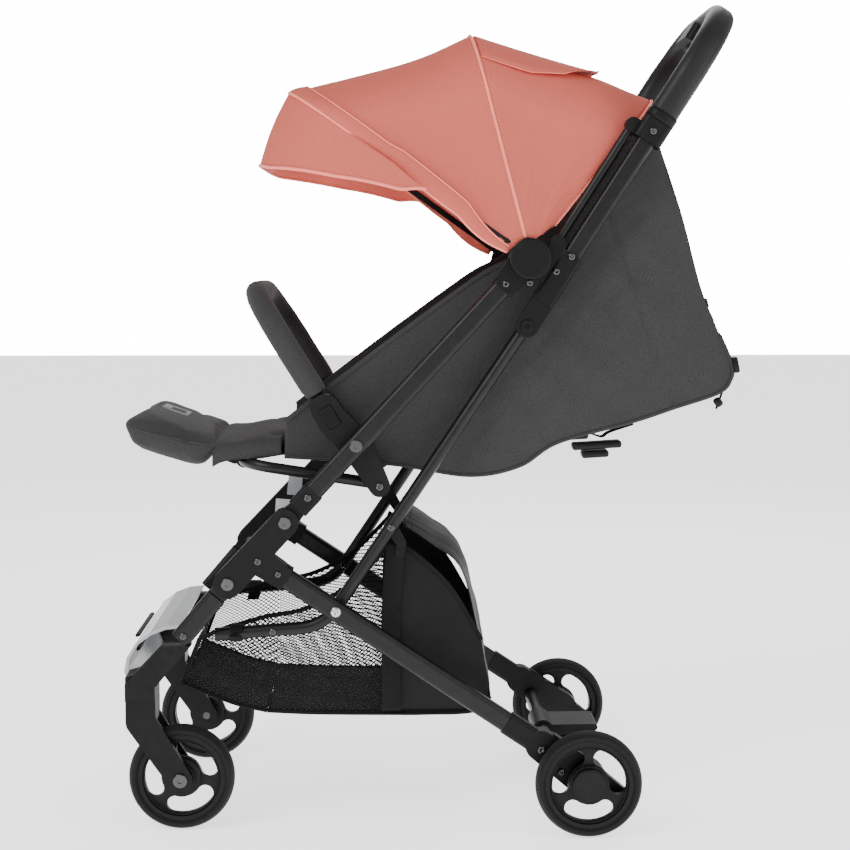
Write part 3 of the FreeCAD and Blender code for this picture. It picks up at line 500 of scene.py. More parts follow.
@dataclass(frozen=True)
class Finish:
    """A material and the way it is built."""

    name: str
    slot: str
    color: tuple[float, float, float, float]
    roughness: float = 0.5
    metallic: float = 0.0
    specular: float = 0.5

    def start(self) -> tuple[bpy.types.Material, Nodes, bpy.types.Node, bpy.types.Node]:
        """New material with its shader and coordinates; returns (material, nodes, shader, coordinates)."""
        material = bpy.data.materials.new(self.name)
        material.use_nodes = True
        n = Nodes(material.node_tree)
        shader = material.node_tree.nodes["Principled BSDF"]
        shader.inputs["Base Color"].default_value = self.color
        shader.inputs["Roughness"].default_value = self.roughness
        shader.inputs["Metallic"].default_value = self.metallic
        shader.inputs["Specular IOR Level"].default_value = self.specular
        return material, n, shader, n.add("ShaderNodeTexCoord")

    def tint(self, n: Nodes, shader: bpy.types.Node, factor: bpy.types.NodeSocket,
             other: tuple[float, float, float, float]) -> None:
        """Mixes the base colour towards another by a mask."""
        mix = n.add("ShaderNodeMix", data_type="RGBA")
        n.link(factor, mix.inputs["Factor"])
        mix.inputs[6].default_value = self.color
        mix.inputs[7].default_value = other
        n.link(mix.outputs[2], shader.inputs["Base Color"])

    def place(self, n: Nodes, tree: bpy.types.NodeTree, vector: bpy.types.NodeSocket,
              **values: float) -> bpy.types.Node:
        """Places a shared group on these coordinates with its own values."""
        node = n.add("ShaderNodeGroup", node_tree=tree)
        n.link(vector, node.inputs["Vector"])
        for key, value in values.items():
            node.inputs[key].default_value = value
        return node

    def relief(self, n: Nodes, shader: bpy.types.Node, height: bpy.types.NodeSocket, strength: float,
               distance: float) -> None:
        """Bump from a height."""
        bump = n.add("ShaderNodeBump", {"Strength": strength, "Distance": distance})
        n.link(height, bump.inputs["Height"])
        n.link(bump.outputs[0], shader.inputs["Normal"])


@dataclass(frozen=True)
class Moulded(Finish):
    """Moulded plastic or painted tube: fine grain, cloudiness in the gloss, and paler worn edges."""

    grain: float = 0.25
    scale: float = 1500.0
    worn: tuple[float, float, float, float] = (0.04, 0.04, 0.04, 1.0)
    wear: float = 0.12

    def build(self, fx: Effects) -> bpy.types.Material:
        """Material of this finish."""
        material, n, shader, coords = self.start()
        grain = self.place(n, fx.grain, coords.outputs["Object"], Scale=self.scale)
        wear = self.place(n, fx.wear, coords.outputs["Object"], Amount=self.wear)
        self.tint(n, shader, wear.outputs["Wear"], self.worn)
        gloss = n.add("ShaderNodeMapRange",
                      {"From Min": 0.3, "From Max": 0.7, "To Min": self.roughness - 0.02,
                       "To Max": self.roughness + 0.03})
        n.link(grain.outputs["Cloud"], gloss.inputs["Value"])
        n.link(gloss.outputs[0], shader.inputs["Roughness"])
        self.relief(n, shader, grain.outputs["Height"], self.grain, 0.0003)
        return material


@dataclass(frozen=True)
class Woven(Finish):
    """Woven cloth: yarn relief, melange of yarn shades and a soft sheen."""

    second: tuple[float, float, float, float] = (0.2, 0.2, 0.2, 1.0)
    pitch: float = 5200.0
    relief_mm: float = 0.25
    sheen: float = 0.25
    mapping: Mapping = Mapping.OBJECT

    def build(self, fx: Effects) -> bpy.types.Material:
        """Material of this finish."""
        material, n, shader, coords = self.start()
        weave = self.place(n, fx.weave, coords.outputs[self.mapping.value], Pitch=self.pitch)
        blend = n.math("ADD", n.math("MULTIPLY", weave.outputs["Melange"], 0.92),
                       n.math("MULTIPLY", weave.outputs["Slub"], 0.08))
        ramp = n.add("ShaderNodeMapRange", {"From Min": 0.34, "From Max": 0.66})
        n.link(blend, ramp.inputs["Value"])
        self.tint(n, shader, ramp.outputs[0], self.second)
        shader.inputs["Sheen Weight"].default_value = self.sheen
        shader.inputs["Sheen Roughness"].default_value = 0.45
        self.relief(n, shader, weave.outputs["Height"], 0.35, self.relief_mm / 1000)
        return material


@dataclass(frozen=True)
class Net(Finish):
    """See-through diamond net on the piece's own surface coordinates."""

    cells: float = 130.0

    def build(self, fx: Effects) -> bpy.types.Material:
        """Material of this finish."""
        material, n, shader, coords = self.start()
        net = self.place(n, fx.net, coords.outputs["UV"], Cells=self.cells, Thread=0.15)
        n.link(net.outputs["Thread"], shader.inputs["Alpha"])
        return material


@dataclass(frozen=True)
class Tread(Finish):
    """Foam tyre: fine rings round the wheel's axle line, with dusty contact band."""

    def build(self, fx: Effects, centre: Sequence[float]) -> bpy.types.Material:
        """Material for the tyre about one centre."""
        material, n, shader, coords = self.start()
        shift = n.add("ShaderNodeVectorMath", operation="SUBTRACT")
        shift.inputs[1].default_value = (0.0, centre[1], centre[2])
        n.link(coords.outputs["Object"], shift.inputs[0])
        split = n.add("ShaderNodeSeparateXYZ")
        n.link(shift.outputs[0], split.inputs[0])
        radius = n.math("SQRT", n.math("ADD", n.math("MULTIPLY", split.outputs[1], split.outputs[1]),
                                       n.math("MULTIPLY", split.outputs[2], split.outputs[2])))
        rings = n.math("SINE",
                       n.math("MULTIPLY", n.math("ADD", radius, split.outputs[0]), math.tau / 0.0016))
        grain = self.place(n, fx.grain, coords.outputs["Object"], Scale=900.0)
        dust = n.add("ShaderNodeMapRange",
                     {"From Min": centre[2] - 0.0035, "From Max": centre[2] + 0.0005, "To Max": 0.35})
        n.link(radius, dust.inputs["Value"])
        self.tint(n, shader, n.math("MULTIPLY", dust.outputs[0], grain.outputs["Cloud"]),
                  (0.03, 0.029, 0.028, 1.0))
        self.relief(n, shader, n.math("ADD", n.math("MULTIPLY", rings, 0.5), grain.outputs["Height"]),
                    0.35, 0.0004)
        return material


@dataclass(frozen=True)
class Finishes:
    """Every finish on the stroller."""

    tube: Moulded = Moulded("tube_paint_black", "frame_black", (0.0035, 0.0035, 0.0037, 1), 0.36,
                            specular=0.26, grain=0.10, scale=2600.0)
    plastic: Moulded = Moulded("plastic_black", "frame_plastic", (0.0035, 0.0035, 0.0037, 1), 0.46,
                               specular=0.16, grain=0.25)
    rim: Moulded = Moulded("rim_black", "rim", (0.0035, 0.0035, 0.0037, 1), 0.42, specular=0.18, grain=0.15)
    board: Moulded = Moulded("board_sheet", "board", (0.006, 0.006, 0.0062, 1), 0.6, specular=0.15,
                             grain=0.3)
    panel: Moulded = Moulded("step_panel_grey", "grey_panel", srgb(176, 178, 181), 0.2, grain=0.05,
                             worn=srgb(190, 191, 192))
    buckle: Moulded = Moulded("buckle_black", "buckle", (0.003, 0.003, 0.0032, 1), 0.3, specular=0.2,
                              grain=0.1)
    steel: Moulded = Moulded("bolt_black", "steel", (0.004, 0.004, 0.0042, 1), 0.12, specular=0.9,
                             grain=0.02)
    bright: Moulded = Moulded("bolt_bright", "steel", (0.55, 0.55, 0.57, 1), 0.22, 1.0, grain=0.05,
                              worn=(0.7, 0.7, 0.7, 1))
    grip: Moulded = Moulded("grip_wrap", "foam_grip", (0.0055, 0.0055, 0.006, 1), 0.46, specular=0.3,
                            grain=0.8, scale=620.0, worn=(0.01, 0.01, 0.01, 1))
    pink: Woven = Woven("canopy_pink", "fabric_pink", srgb(252, 136, 120), 0.75, specular=0.15,
                        second=srgb(246, 127, 112), relief_mm=0.12, sheen=0.15)
    # Inside of the hood: darker than the outside, partly the lining's own colour and partly painted shade.
    lining_and_shade: Woven = Woven("canopy_lining_and_shade", "fabric_pink", srgb(196, 98, 84), 0.85, specular=0.1,
                          second=srgb(184, 90, 78), relief_mm=0.12, sheen=0.0)
    grey: Woven = Woven("seat_grey", "fabric_grey", srgb(42, 42, 43), 0.85, specular=0.12,
                        second=srgb(58, 58, 59), relief_mm=0.2, sheen=0.08)
    black: Woven = Woven("basket_nylon", "fabric_black", srgb(12, 12, 13), 0.55, specular=0.16,
                         second=srgb(17, 17, 18), relief_mm=0.12, sheen=0.02)
    tape: Woven = Woven("webbing_black", "fabric_black", srgb(11, 11, 12), 0.7, specular=0.14,
                        second=srgb(19, 19, 20), pitch=2600.0, relief_mm=0.4, sheen=0.02)
    label: Woven = Woven("tab_light", "fabric_black", srgb(176, 177, 180), 0.8, specular=0.2,
                         second=srgb(156, 158, 162), pitch=3000.0, relief_mm=0.3, sheen=0.05)
    net: Net = Net("basket_net", "mesh_black", (0.0035, 0.0035, 0.0035, 1), 0.6, specular=0.12)
    tyre: Tread = Tread("tyre_foam", "tyre", (0.009, 0.009, 0.0088, 1), 0.72, specular=0.16)


class Paintbox:
    """Builds each material once and puts it on pieces."""

    def __init__(self) -> None:
        """Prepares the groups and the finishes."""
        self.fx = Effects()
        self.finishes = Finishes()
        self._made: dict[str, bpy.types.Material] = {}

    def get(self, finish: Moulded | Woven | Net) -> bpy.types.Material:
        """The one material of a finish."""
        if finish.name not in self._made:
            self._made[finish.name] = finish.build(self.fx)
        return self._made[finish.name]

    def dress(self, obj: bpy.types.Object, finish: Moulded | Woven | Net,
              body: Optional[str] = None) -> bpy.types.Object:
        """Gives obj a finish, and a body to ride on."""
        obj.data.materials.clear()
        obj.data.materials.append(self.get(finish))
        if body:
            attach(obj, body)
        return obj

    def tyre(self, obj: bpy.types.Object, centre: Sequence[float]) -> None:
        """Tyre finish about one wheel's centre."""
        finish = self.finishes.tyre
        obj.data.materials.clear()
        obj.data.materials.append(finish.build(self.fx, centre))


# ---------------------------------------------------------------- sub-assemblies
HUB: SideView = (0.1255, 0.710)
SEAT_SEAM = [(0.216, 0.795), (0.232, 0.745), (0.255, 0.680), (0.275, 0.623), (0.296, 0.570), (0.311, 0.530)]
SIDES = ((1, "left"), (-1, "right"))


@dataclass
class Hardware:
    """The frame's rigid CAD nodes, with the bolts, bands and slots that finish them."""

    paint: Paintbox
    nodes: dict[str, bpy.types.Object]
    bolt_t: float = 0.0022

    def dress_nodes(self) -> None:
        """Puts a finish on every CAD node that stays in view."""
        f = self.paint.finishes
        table = {
            f.tube: ("rear_leg", "front_leg", "front_tube", "rear_link", "handle_tubes", "back_tubes",
                     "rear_axle_bar", "seat_tube", "canopy_mid_bow", "canopy_front_bow"),
            f.plastic: ("y_bracket", "rear_bracket", "brake_pedal", "caster_housings", "fork",
                        "front_tube_ends", "hub_housings", "hub_caps", "handle_brackets", "handle_collars",
                        "release_housing", "release_button", "basket_hangers", "seat_brackets",
                        "footrest_frame", "bumper_button"),
            f.rim: ("rear_rim", "front_rim"),
            f.panel: ("front_step",),
            f.board: ("seat_board",),
            f.steel: ("frame_pins", "upper_pins", "front_axle"),
            f.grip: ("handle_grip",),
            f.grey: ("bumper_bar",),
        }
        for finish, stems in table.items():
            for stem in stems:
                for name in (stem, stem + "_left", stem + "_right"):
                    if name in self.nodes:
                        self.paint.dress(self.nodes[name], finish)
        for name, node in self.nodes.items():
            if "tyre" in name:
                low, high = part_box(name)
                self.paint.tyre(node, tuple((low + high) / 2))

    def bolt(self, name: str, x: float, at: SideView, body: str, radius: float, finish: Moulded) -> None:
        """Domed socket-head bolt on the outer face at x, mirrored to the other side."""
        r, t = radius, self.bolt_t
        outline = np.array([(-0.0004, 0), (-0.0004, r), (t * 0.45, r), (t * 0.8, r * 0.86), (t, r * 0.62),
                            (t, r * 0.42), (t * 0.35, r * 0.38), (t * 0.3, 0)])
        for side in (1, -1):
            piece = lathe(f"{name}_{'left' if side > 0 else 'right'}", outline, (side * x, *at), side, 20)
            self.paint.dress(piece, finish, body)

    def bolts(self) -> None:
        """Screws and rivets along the frame."""
        f = self.paint.finishes
        rows = (
            ("bolt_tube_end", 0.1936, (-0.1447, 0.4189), "front_tubes", 0.0048, f.steel),
            ("bolt_leg_top", 0.1926, (-0.2984, 0.2479), "front_legs", 0.0045, f.steel),
            ("bolt_bracket_mid", 0.1936, (-0.2062, 0.3405), "base", 0.0045, f.steel),
            ("bolt_sleeve_top", 0.1936, (-0.1815, 0.3245), "base", 0.0040, f.steel),
            ("bolt_knuckle", 0.1946, (0.143, 0.104), "base", 0.0050, f.steel),
            ("bolt_bracket_low", 0.1946, (0.168, 0.076), "base", 0.0045, f.steel),
            ("rivet_ring", 0.1926, (-0.111, 0.2775), "base", 0.0062, f.bright),
            ("bolt_link", 0.171, (-0.043, 0.3786), "rear_links", 0.0045, f.steel),
            ("bolt_link_front", 0.171, (-0.190, 0.2490), "rear_links", 0.0045, f.steel),
            ("bolt_hub_lug", 0.196, (0.1254, 0.6808), "front_tubes", 0.0042, f.steel),
            ("bolt_hub_socket", 0.1946, (0.0966, 0.6795), "front_tubes", 0.0042, f.steel),
            ("bolt_handle_ear", 0.1846, (0.1585, 0.6945), "handle", 0.0045, f.steel),
            ("bolt_handle_tube", 0.1846, (0.1770, 0.7125), "handle", 0.0045, f.steel),
            ("bolt_collar", 0.188, (0.2747, 0.8636), "handle", 0.0045, f.steel),
            ("bolt_seat_tip", 0.1725, (-0.057, 0.430), "seat_frame", 0.0050, f.steel),
        )
        for name, x, at, body, radius, finish in rows:
            self.bolt(name, x, at, body, radius, finish)

    def hub_trim(self) -> None:
        """Raised double ring on each hub cap."""
        f = self.paint.finishes
        t = np.linspace(0, math.tau, 96, endpoint=False)
        for side, word in SIDES:
            for radius, x, thick in ((0.0238, 0.2118, 0.0008), (0.0196, 0.2131, 0.0006)):
                path = np.column_stack([np.full(96, side * x), HUB[0] + radius * np.cos(t),
                                        HUB[1] + radius * np.sin(t)])
                ring = sweep(f"hub_ring_{word}_{int(radius * 1e4)}", path, ring_profile(thick, 8),
                             closed=True)
                self.paint.dress(ring, f.rim, "canopy_mid")

    def wheel_trim(self) -> None:
        """Thin moulded rings on the wheels' outer faces."""
        f = self.paint.finishes
        t = np.linspace(0, math.tau, 96, endpoint=False)
        wheels = ((0.210, (0.200, 0.066), "rear_wheel"), (0.166, (-0.3045, 0.066), "front_wheel"))
        for x, (y, z), body in wheels:
            for side, word in SIDES:
                for radius in (0.0465, 0.0195):
                    face = 0.010 if radius > 0.04 else 0.0168
                    path = np.column_stack([np.full(96, side * (x + face)), y + radius * np.cos(t),
                                            z + radius * np.sin(t)])
                    if radius < 0.04 and body == "front_wheel":
                        continue
                    ring = sweep(f"{body}_{word}_ring_{int(radius * 1e4)}", path, ring_profile(0.0008, 8),
                                 closed=True)
                    self.paint.dress(ring, f.rim, f"{body}_{word}")

    def step_slots(self) -> None:
        """Two dark slots in the front step panel."""
        low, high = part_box("front_step")
        for k, shift in enumerate((-0.018, 0.018)):
            centre = (0.0, low.y + 0.0045, (low.z + high.z) / 2 + 0.004 + shift * 0.5)
            strip = block(f"step_slot_{k}", (0, centre[1] + abs(shift) * 0.2, centre[2]),
                          (0.004, 0.006, 0.15), side_axes((0.25, -1.0)), 0.0012)
            self.paint.dress(strip, self.paint.finishes.plastic, "front_legs")

    def build(self) -> None:
        """Builds everything in this class."""
        self.dress_nodes()
        self.bolts()
        self.hub_trim()
        self.wheel_trim()
        self.step_slots()
        log.info("frame: %d CAD nodes dressed", len(self.nodes))


@dataclass
class Grip:
    """Wrapped push grip: the CAD grip's path with a stitched seam and end cuffs."""

    paint: Paintbox
    angle: float = 57.3
    half: float = 0.174
    corner: float = 0.095
    low: float = 0.2945
    top: float = 0.455
    link_top: SideView = (0.1235, 0.628)
    width: float = 0.030
    depth: float = 0.035

    def path(self) -> Array:
        """Centre line of the U: two straight arms, two quarter bends and the cross part."""
        d = (math.cos(math.radians(self.angle)), math.sin(math.radians(self.angle)))
        t = np.linspace(0, math.pi / 2, 26)
        arm = np.linspace(self.low, self.top - self.corner, 18)[:-1]
        x = np.concatenate([np.full(17, self.half), self.half - self.corner * (1 - np.cos(t))])
        s = np.concatenate([arm, self.top - self.corner + self.corner * np.sin(t)])
        across = np.linspace(self.half - self.corner, -(self.half - self.corner), 30)[1:-1]
        x = np.concatenate([x, across, -x[::-1]])
        s = np.concatenate([s, np.full(28, self.top), s[::-1]])
        return np.column_stack([x, self.link_top[0] + d[0] * s, self.link_top[1] + d[1] * s])

    def normal(self) -> Array:
        """Unit normal of the grip's plane, towards the front and up."""
        a = math.radians(self.angle)
        return np.array([0.0, -math.sin(a), math.cos(a)])

    def build(self) -> None:
        """Wrapped tube with slight dents, a seam line and its stitches, and a cuff at each end."""
        f = self.paint.finishes
        line = resample(self.path(), 150)
        profile = box_profile(self.width, self.depth, 0.0129, 7)
        s = np.linspace(0, 1, 150)
        ends = 1 - 0.05 * np.exp(-np.minimum(s, 1 - s) * 90)
        puff = 1 + 0.006 * np.sin(s * 70) + 0.005 * np.sin(s * 31 + 1.0)
        wrap = sweep("grip_wrap", line, profile, self.normal(), scale=ends * puff * 0.995)
        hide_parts("handle_grip")
        self.paint.dress(wrap, f.grip, "handle")
        across, lift = frames_along(line, self.normal())
        inner = line - lift * (self.depth / 2 - 0.0002)
        seam = sweep("grip_seam", inner[2:-2], ring_profile(0.0009, 6), self.normal())
        self.paint.dress(seam, f.tape, "handle")
        self.paint.dress(stitches("grip_stitches", inner[2:-2] - lift[2:-2] * 0.0004, lift[2:-2],
                                  across[2:-2], 0.006, 0.0032), f.tape, "handle")
        for side, word in SIDES:
            arm = line[:4] if side > 0 else line[-4:]
            cuff = sweep(f"grip_cuff_{word}", arm,
                         box_profile(self.width + 0.003, self.depth + 0.003, 0.0135, 5), self.normal())
            self.paint.dress(cuff, f.plastic, "handle")


def stitches(name: str, line: Array, outward: Array, across: Array, pitch: float, length: float,
             radius: float = 0.00042, offset: float = 0.0) -> bpy.types.Object:
    """Row of short thread runs lying on a surface.

    Args:
        name: object name.
        line: (n, 3) points of the seam on the surface.
        outward: (n, 3) surface normals along it.
        across: (n, 3) directions across the seam.
        pitch: distance from stitch to stitch.
        length: length of each stitch.
        radius: thread radius.
        offset: distance of the row from the seam line.

    Returns:
        One object with every stitch: each is a squashed six-sided spindle.
    """
    total = np.linalg.norm(np.diff(line, axis=0), axis=1).sum()
    count = max(2, int(total / pitch))
    data = resample(np.column_stack([line, outward, across]), count)
    mid, up, side = data[:, :3], unit(data[:, 3:6]), unit(data[:, 6:9])
    along = unit(np.gradient(mid, axis=0))
    mid = mid + side * offset
    shape = np.array([(-0.5, 0, 0), (-0.3, 1, 0), (-0.3, 0, 1.1), (-0.3, -1, 0), (0.3, 1, 0),
                      (0.3, 0, 1.1), (0.3, -1, 0), (0.5, 0, 0)])
    verts = mid[:, None] + along[:, None] * shape[None, :, :1] * length
    verts = verts + side[:, None] * shape[None, :, 1:2] * radius
    verts = (verts + up[:, None] * (shape[None, :, 2:3] - 0.2) * radius).reshape(-1, 3)
    faces = [(0, 2, 1), (0, 3, 2), (0, 1, 3), (1, 2, 5, 4), (2, 3, 6, 5), (3, 1, 4, 6), (7, 4, 5),
             (7, 5, 6), (7, 6, 4)]
    every = [[k * 8 + i for i in face] for k in range(count) for face in faces]
    return add_mesh(name, verts, every)


@dataclass
class Canopy:
    """Pink hood: two taut panels between bows, a visor, a vent flap, a hem, piped seams and stitching."""

    paint: Paintbox
    top_half: float = 0.172
    foot_x: float = 0.2045
    corner: float = 0.0805
    crown: float = 0.004
    thick: float = 0.0012
    rear: tuple[float, float] = (51.0, 0.253)
    dart: tuple[float, float] = (68.0, 0.2435)
    mid: tuple[float, float] = (104.0, 0.2835)
    front: tuple[float, float] = (145.0, 0.3575)

    def reach(self, angle: Array) -> Array:
        """Distance of the roof from the hub line at an angle: straight chords from bow to bow."""
        knots = np.array([self.rear, self.dart, self.mid, self.front])
        a, r = np.radians(knots[:, 0]), knots[:, 1]
        y, z = r * np.cos(a), r * np.sin(a)
        theta = np.radians(angle)
        out = np.zeros_like(theta)
        for i in range(len(knots) - 1):
            ny, nz = z[i + 1] - z[i], -(y[i + 1] - y[i])
            value = (y[i] * ny + z[i] * nz) / (np.cos(theta) * ny + np.sin(theta) * nz)
            inside = (angle >= knots[i, 0] - 1e-6) & (angle <= knots[i + 1, 0] + 1e-6)
            out = np.where(inside, value, out)
        return out

    def arch(self, top: Array, foot: Array, half: Array, t: Array) -> tuple[Array, Array]:
        """Cross-section of the hood: up one side, round the corner, over the top and down again.

        Args:
            top: roof height above the hub line, one per row.
            foot: where the side starts, one per row.
            half: half width at the top, one per row.
            t: position from foot to foot, 0 to 1.

        Returns:
            (x, radius) arrays of rows by positions.
        """
        top, foot, half = (np.asarray(v, float)[:, None] for v in (top, foot, half))
        bend = np.minimum(self.corner, (top - foot) * 0.8)
        side, arc, flat = top - foot - bend, bend * math.pi / 2, half - bend
        s = np.abs(2 * t[None] - 1)
        run = (1 - s) * (side + arc + flat)
        q = np.clip((run - side) / arc, 0, 1) * math.pi / 2
        k = np.clip(run / np.maximum(side, 1e-6), 0, 1)
        foot_x = np.interp(half, (0.158, 0.170), (0.166, self.foot_x))
        x = np.where(run < side, foot_x + (half - foot_x) * k, half - bend * (1 - np.cos(q)))
        x = np.where(run > side + arc, half - bend - (run - side - arc), x)
        r = np.where(run < side, foot + side * k, foot + side + bend * np.sin(q))
        r = r + self.crown * np.clip(1 - (x / half) ** 2, 0, 1)
        return x * np.where(t[None] < 0.5, 1.0, -1.0), r

    @staticmethod
    def apron(r: Array) -> Array:
        """Degrees that the front panel's side reaches past the front bow, most at the hub."""
        return np.interp(r, (0.028, 0.057, 0.100, 0.158, 0.200), (19.0, 14.0, 4.0, 1.7, 0.0))

    def surface(self, angles: Array, foot: Array, half: Array, t: Array, sag: float, seed: int,
                past: float = 0.0) -> Array:
        """Panel between two bows: the arch at each angle, drawn in a little between them and on its sides.

        Args:
            angles: one angle in degrees per row, from the first edge to the last.
            foot: where the side starts, one per row.
            half: half width at the top, one per row.
            t: position from foot to foot, 0 to 1.
            sag: how far the middle is drawn in, in metres.
            seed: picks the creases.
            past: share of the apron added at the last row.

        Returns:
            Points, rows by positions by 3.
        """
        x, r = self.arch(self.reach(angles), foot, half, t)
        u = (angles - angles[0]) / (angles[-1] - angles[0])
        pull = np.sin(math.pi * u)[:, None] * sag
        roof = np.clip((r - foot[:, None]) / (self.reach(angles) - foot)[:, None], 0, 1)
        wave = 0.0011 * ripple(angles[:, None] * 0.004, x, 0.12, seed) * np.sin(math.pi * u)[:, None]
        r = r - pull * (0.35 + 0.65 * roof) * 0.5 + wave
        x = x * (1 - pull * 1.3 * np.sin(math.pi * roof))
        near_hub = np.exp(-(((r - 0.085) / 0.045) ** 2))
        gather = 0.0022 * np.sin(angles[:, None] * 0.42 + r * 60) * near_hub * np.sin(math.pi * u)[:, None]
        x = x - np.sign(x) * np.abs(gather)
        theta = np.radians(angles[:, None] + past * self.apron(r) * u[:, None] ** 2)
        return np.stack([x, HUB[0] + r * np.cos(theta), HUB[1] + r * np.sin(theta)], axis=-1)

    def casing(self, front: Array) -> Array:
        """Wide hem over the front bow: a second layer that tapers from the hub to the roof."""
        edge = front[-1]
        y, z = edge[:, 1] - HUB[0], edge[:, 2] - HUB[1]
        r, angle = np.hypot(y, z), np.degrees(np.arctan2(z, y))
        width = np.interp(r, (0.06, 0.10, 0.22, 0.34), (13.0, 11.0, 4.2, 3.0))
        u = np.linspace(0, 1, 7)[:, None]
        turned = angle - width * u
        roof = np.clip((r - 0.25) / 0.08, 0, 1)
        near, far = (self.reach(np.clip(a, self.mid[0], self.front[0])) for a in (turned, angle))
        scale = 1 + roof * (near / far - 1)
        lift = 0.0007 + 0.0024 * np.sin(math.pi * np.clip(u * 0.82 + 0.12, 0, 1))
        theta = np.radians(turned)
        p = np.stack([edge[None, :, 0] + 0 * u, HUB[0] + r * scale * np.cos(theta),
                      HUB[1] + r * scale * np.sin(theta)], axis=-1)
        out = grid_normals(p)
        centre = np.array([0.0, *HUB])
        out = out * np.sign(np.sum(out * (p - centre), axis=-1, keepdims=True))
        return p + out * lift[..., None]

    def panel(self, name: str, p: Array, node: Optional[str]) -> bpy.types.Object:
        """Pink cloth from a surface grid; its inward faces take the darker inside colour, partly lining and
        partly painted shade.
        """
        centre = np.array([0.0, *HUB])
        obj = cloth_panel(name, p, self.thick, p - centre)
        if node:
            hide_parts(node)
        self.paint.dress(obj, self.paint.finishes.pink)
        # Inward faces: darker inside colour, partly the lining's own and partly painted shade.
        obj.data.materials.append(self.paint.get(self.paint.finishes.lining_and_shade))
        for face in obj.data.polygons:
            outward = Vector((face.center.x * 0.6, face.center.y - HUB[0], face.center.z - HUB[1]))
            face.material_index = int(face.normal.dot(outward) < 0)
        return obj

    def piping(self, name: str, line: Array, radius: float = 0.0017) -> bpy.types.Object:
        """Round corded edge."""
        line = resample(line, 140)
        return self.paint.dress(sweep(name, line, ring_profile(radius, 8), (0, 0.3, 1)),
                                self.paint.finishes.pink)

    def thread(self, name: str, line: Array) -> bpy.types.Object:
        """Stitches along a seam of the hood."""
        line = resample(line, 160)
        out = unit(line - np.array([0.0, *HUB]))
        along = unit(np.gradient(line, axis=0))
        across = unit(np.cross(out, along))
        return self.paint.dress(stitches(name, line + out * 0.0004, out, across, 0.0042, 0.0028, 0.0003),
                                self.paint.finishes.pink)

    def build(self) -> None:
        """Builds the panels, flap, visor and seams; the visor, the casing and the front, lip and middle
        seams ride on their bows.
        """
        t = np.linspace(0, 1, 121)
        mid_bow, front_bow = self.mid[0], self.front[0]

        rear_angles = np.linspace(self.rear[0], mid_bow, 34)
        rear_foot = np.interp(rear_angles, (51, 60, 75, 104), (0.052, 0.034, 0.0265, 0.0262))
        rear_half = np.interp(rear_angles, (51, 68, 104), (0.158, 0.168, self.top_half))
        rear = self.surface(rear_angles, rear_foot, rear_half, t, 0.006, 1)
        front_angles = np.linspace(mid_bow, front_bow, 44)
        front_foot = np.interp(front_angles, (104, 130, 145), (0.0262, 0.0262, 0.029))
        front = self.surface(front_angles, front_foot, np.full(44, self.top_half), t, 0.017, 2, 1.0)
        visor, flap, casing = self.visor(t), self.flap(), self.casing(front)
        self.panel("hood_rear", rear, "canopy_rear")
        self.panel("hood_front", front, "canopy_front")
        self.panel("hood_visor", visor, "canopy_visor")
        self.panel("hood_flap", flap, None)
        self.panel("hood_casing", casing, None)

        seams = {
            "hood_pipe_mid": (rear[-1], 0.0019),
            "hood_pipe_front": (front[-1], 0.0019),
            "hood_pipe_rear": (rear[0], 0.0016),
            "hood_pipe_lip": (visor[-1], 0.0021),
            "hood_pipe_flap": (flap[-1], 0.0013),
            "hood_pipe_casing": (casing[-1], 0.0009),
        }
        made = {name: self.piping(name, line, radius) for name, (line, radius) in seams.items()}
        threads = {
            "hood_thread_mid": rear[-2],
            "hood_thread_mid_front": front[1],
            "hood_thread_front": front[-2],
            "hood_thread_lip": visor[-3],
            "hood_thread_flap": flap[-2],
            "hood_thread_rear": rear[1],
        }
        made |= {name: self.thread(name, line) for name, line in threads.items()}

        def at(angle: float, radius: float = 0.28) -> tuple[float, float, float]:
            """Point over the hub line at an angle."""
            return (0.0, HUB[0] + radius * math.cos(math.radians(angle)),
                    HUB[1] + radius * math.sin(math.radians(angle)))

        for name in ("hood_rear", "hood_pipe_rear", "hood_flap", "hood_pipe_flap", "hood_thread_flap",
                     "hood_thread_rear", "hood_thread_mid"):
            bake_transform(bpy.data.objects[name])
        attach(made["hood_pipe_mid"], "canopy_mid")
        for name in ("hood_front", "hood_thread_mid_front"):
            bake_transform(bpy.data.objects[name])
        for name in ("hood_visor", "hood_casing", "hood_pipe_casing", "hood_pipe_front", "hood_pipe_lip",
                     "hood_thread_front", "hood_thread_lip"):
            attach(bpy.data.objects[name], "canopy_front")
        log.info("canopy: panels, visor, flap and %d seams", len(made))

    def visor(self, t: Array) -> Array:
        """Brim ahead of the front bow: straight out to a lip that narrows to nothing on the sides."""
        x, r = self.arch(np.full(16, self.front[1]), np.full(16, 0.150), np.full(16, self.top_half), t)
        u = np.linspace(0, 1, 16)[:, None]
        share = np.clip((r - 0.15) / (self.front[1] - 0.15), 0, 1)
        lip = np.radians(np.interp(r, (0.150, 0.158, 0.177, 0.260, 0.347),
                                   (146.7, 147.6, 152.0, 157.0, 160.6)))
        root = np.radians(self.front[0] + self.apron(r))
        far = r - 0.008 * share
        y = (1 - u) * r * np.cos(root) + u * far * np.cos(lip)
        z = (1 - u) * r * np.sin(root) + u * far * np.sin(lip)
        bulge = 0.0035 * share * np.sin(math.pi * u) + 0.0016 * ripple(x, u * 0.05, 0.09, 4) * share * u
        distance = np.hypot(y, z)
        y, z = y * (1 + bulge / distance), z * (1 + bulge / distance)
        return np.stack([x, HUB[0] + y, HUB[1] + z], axis=-1)

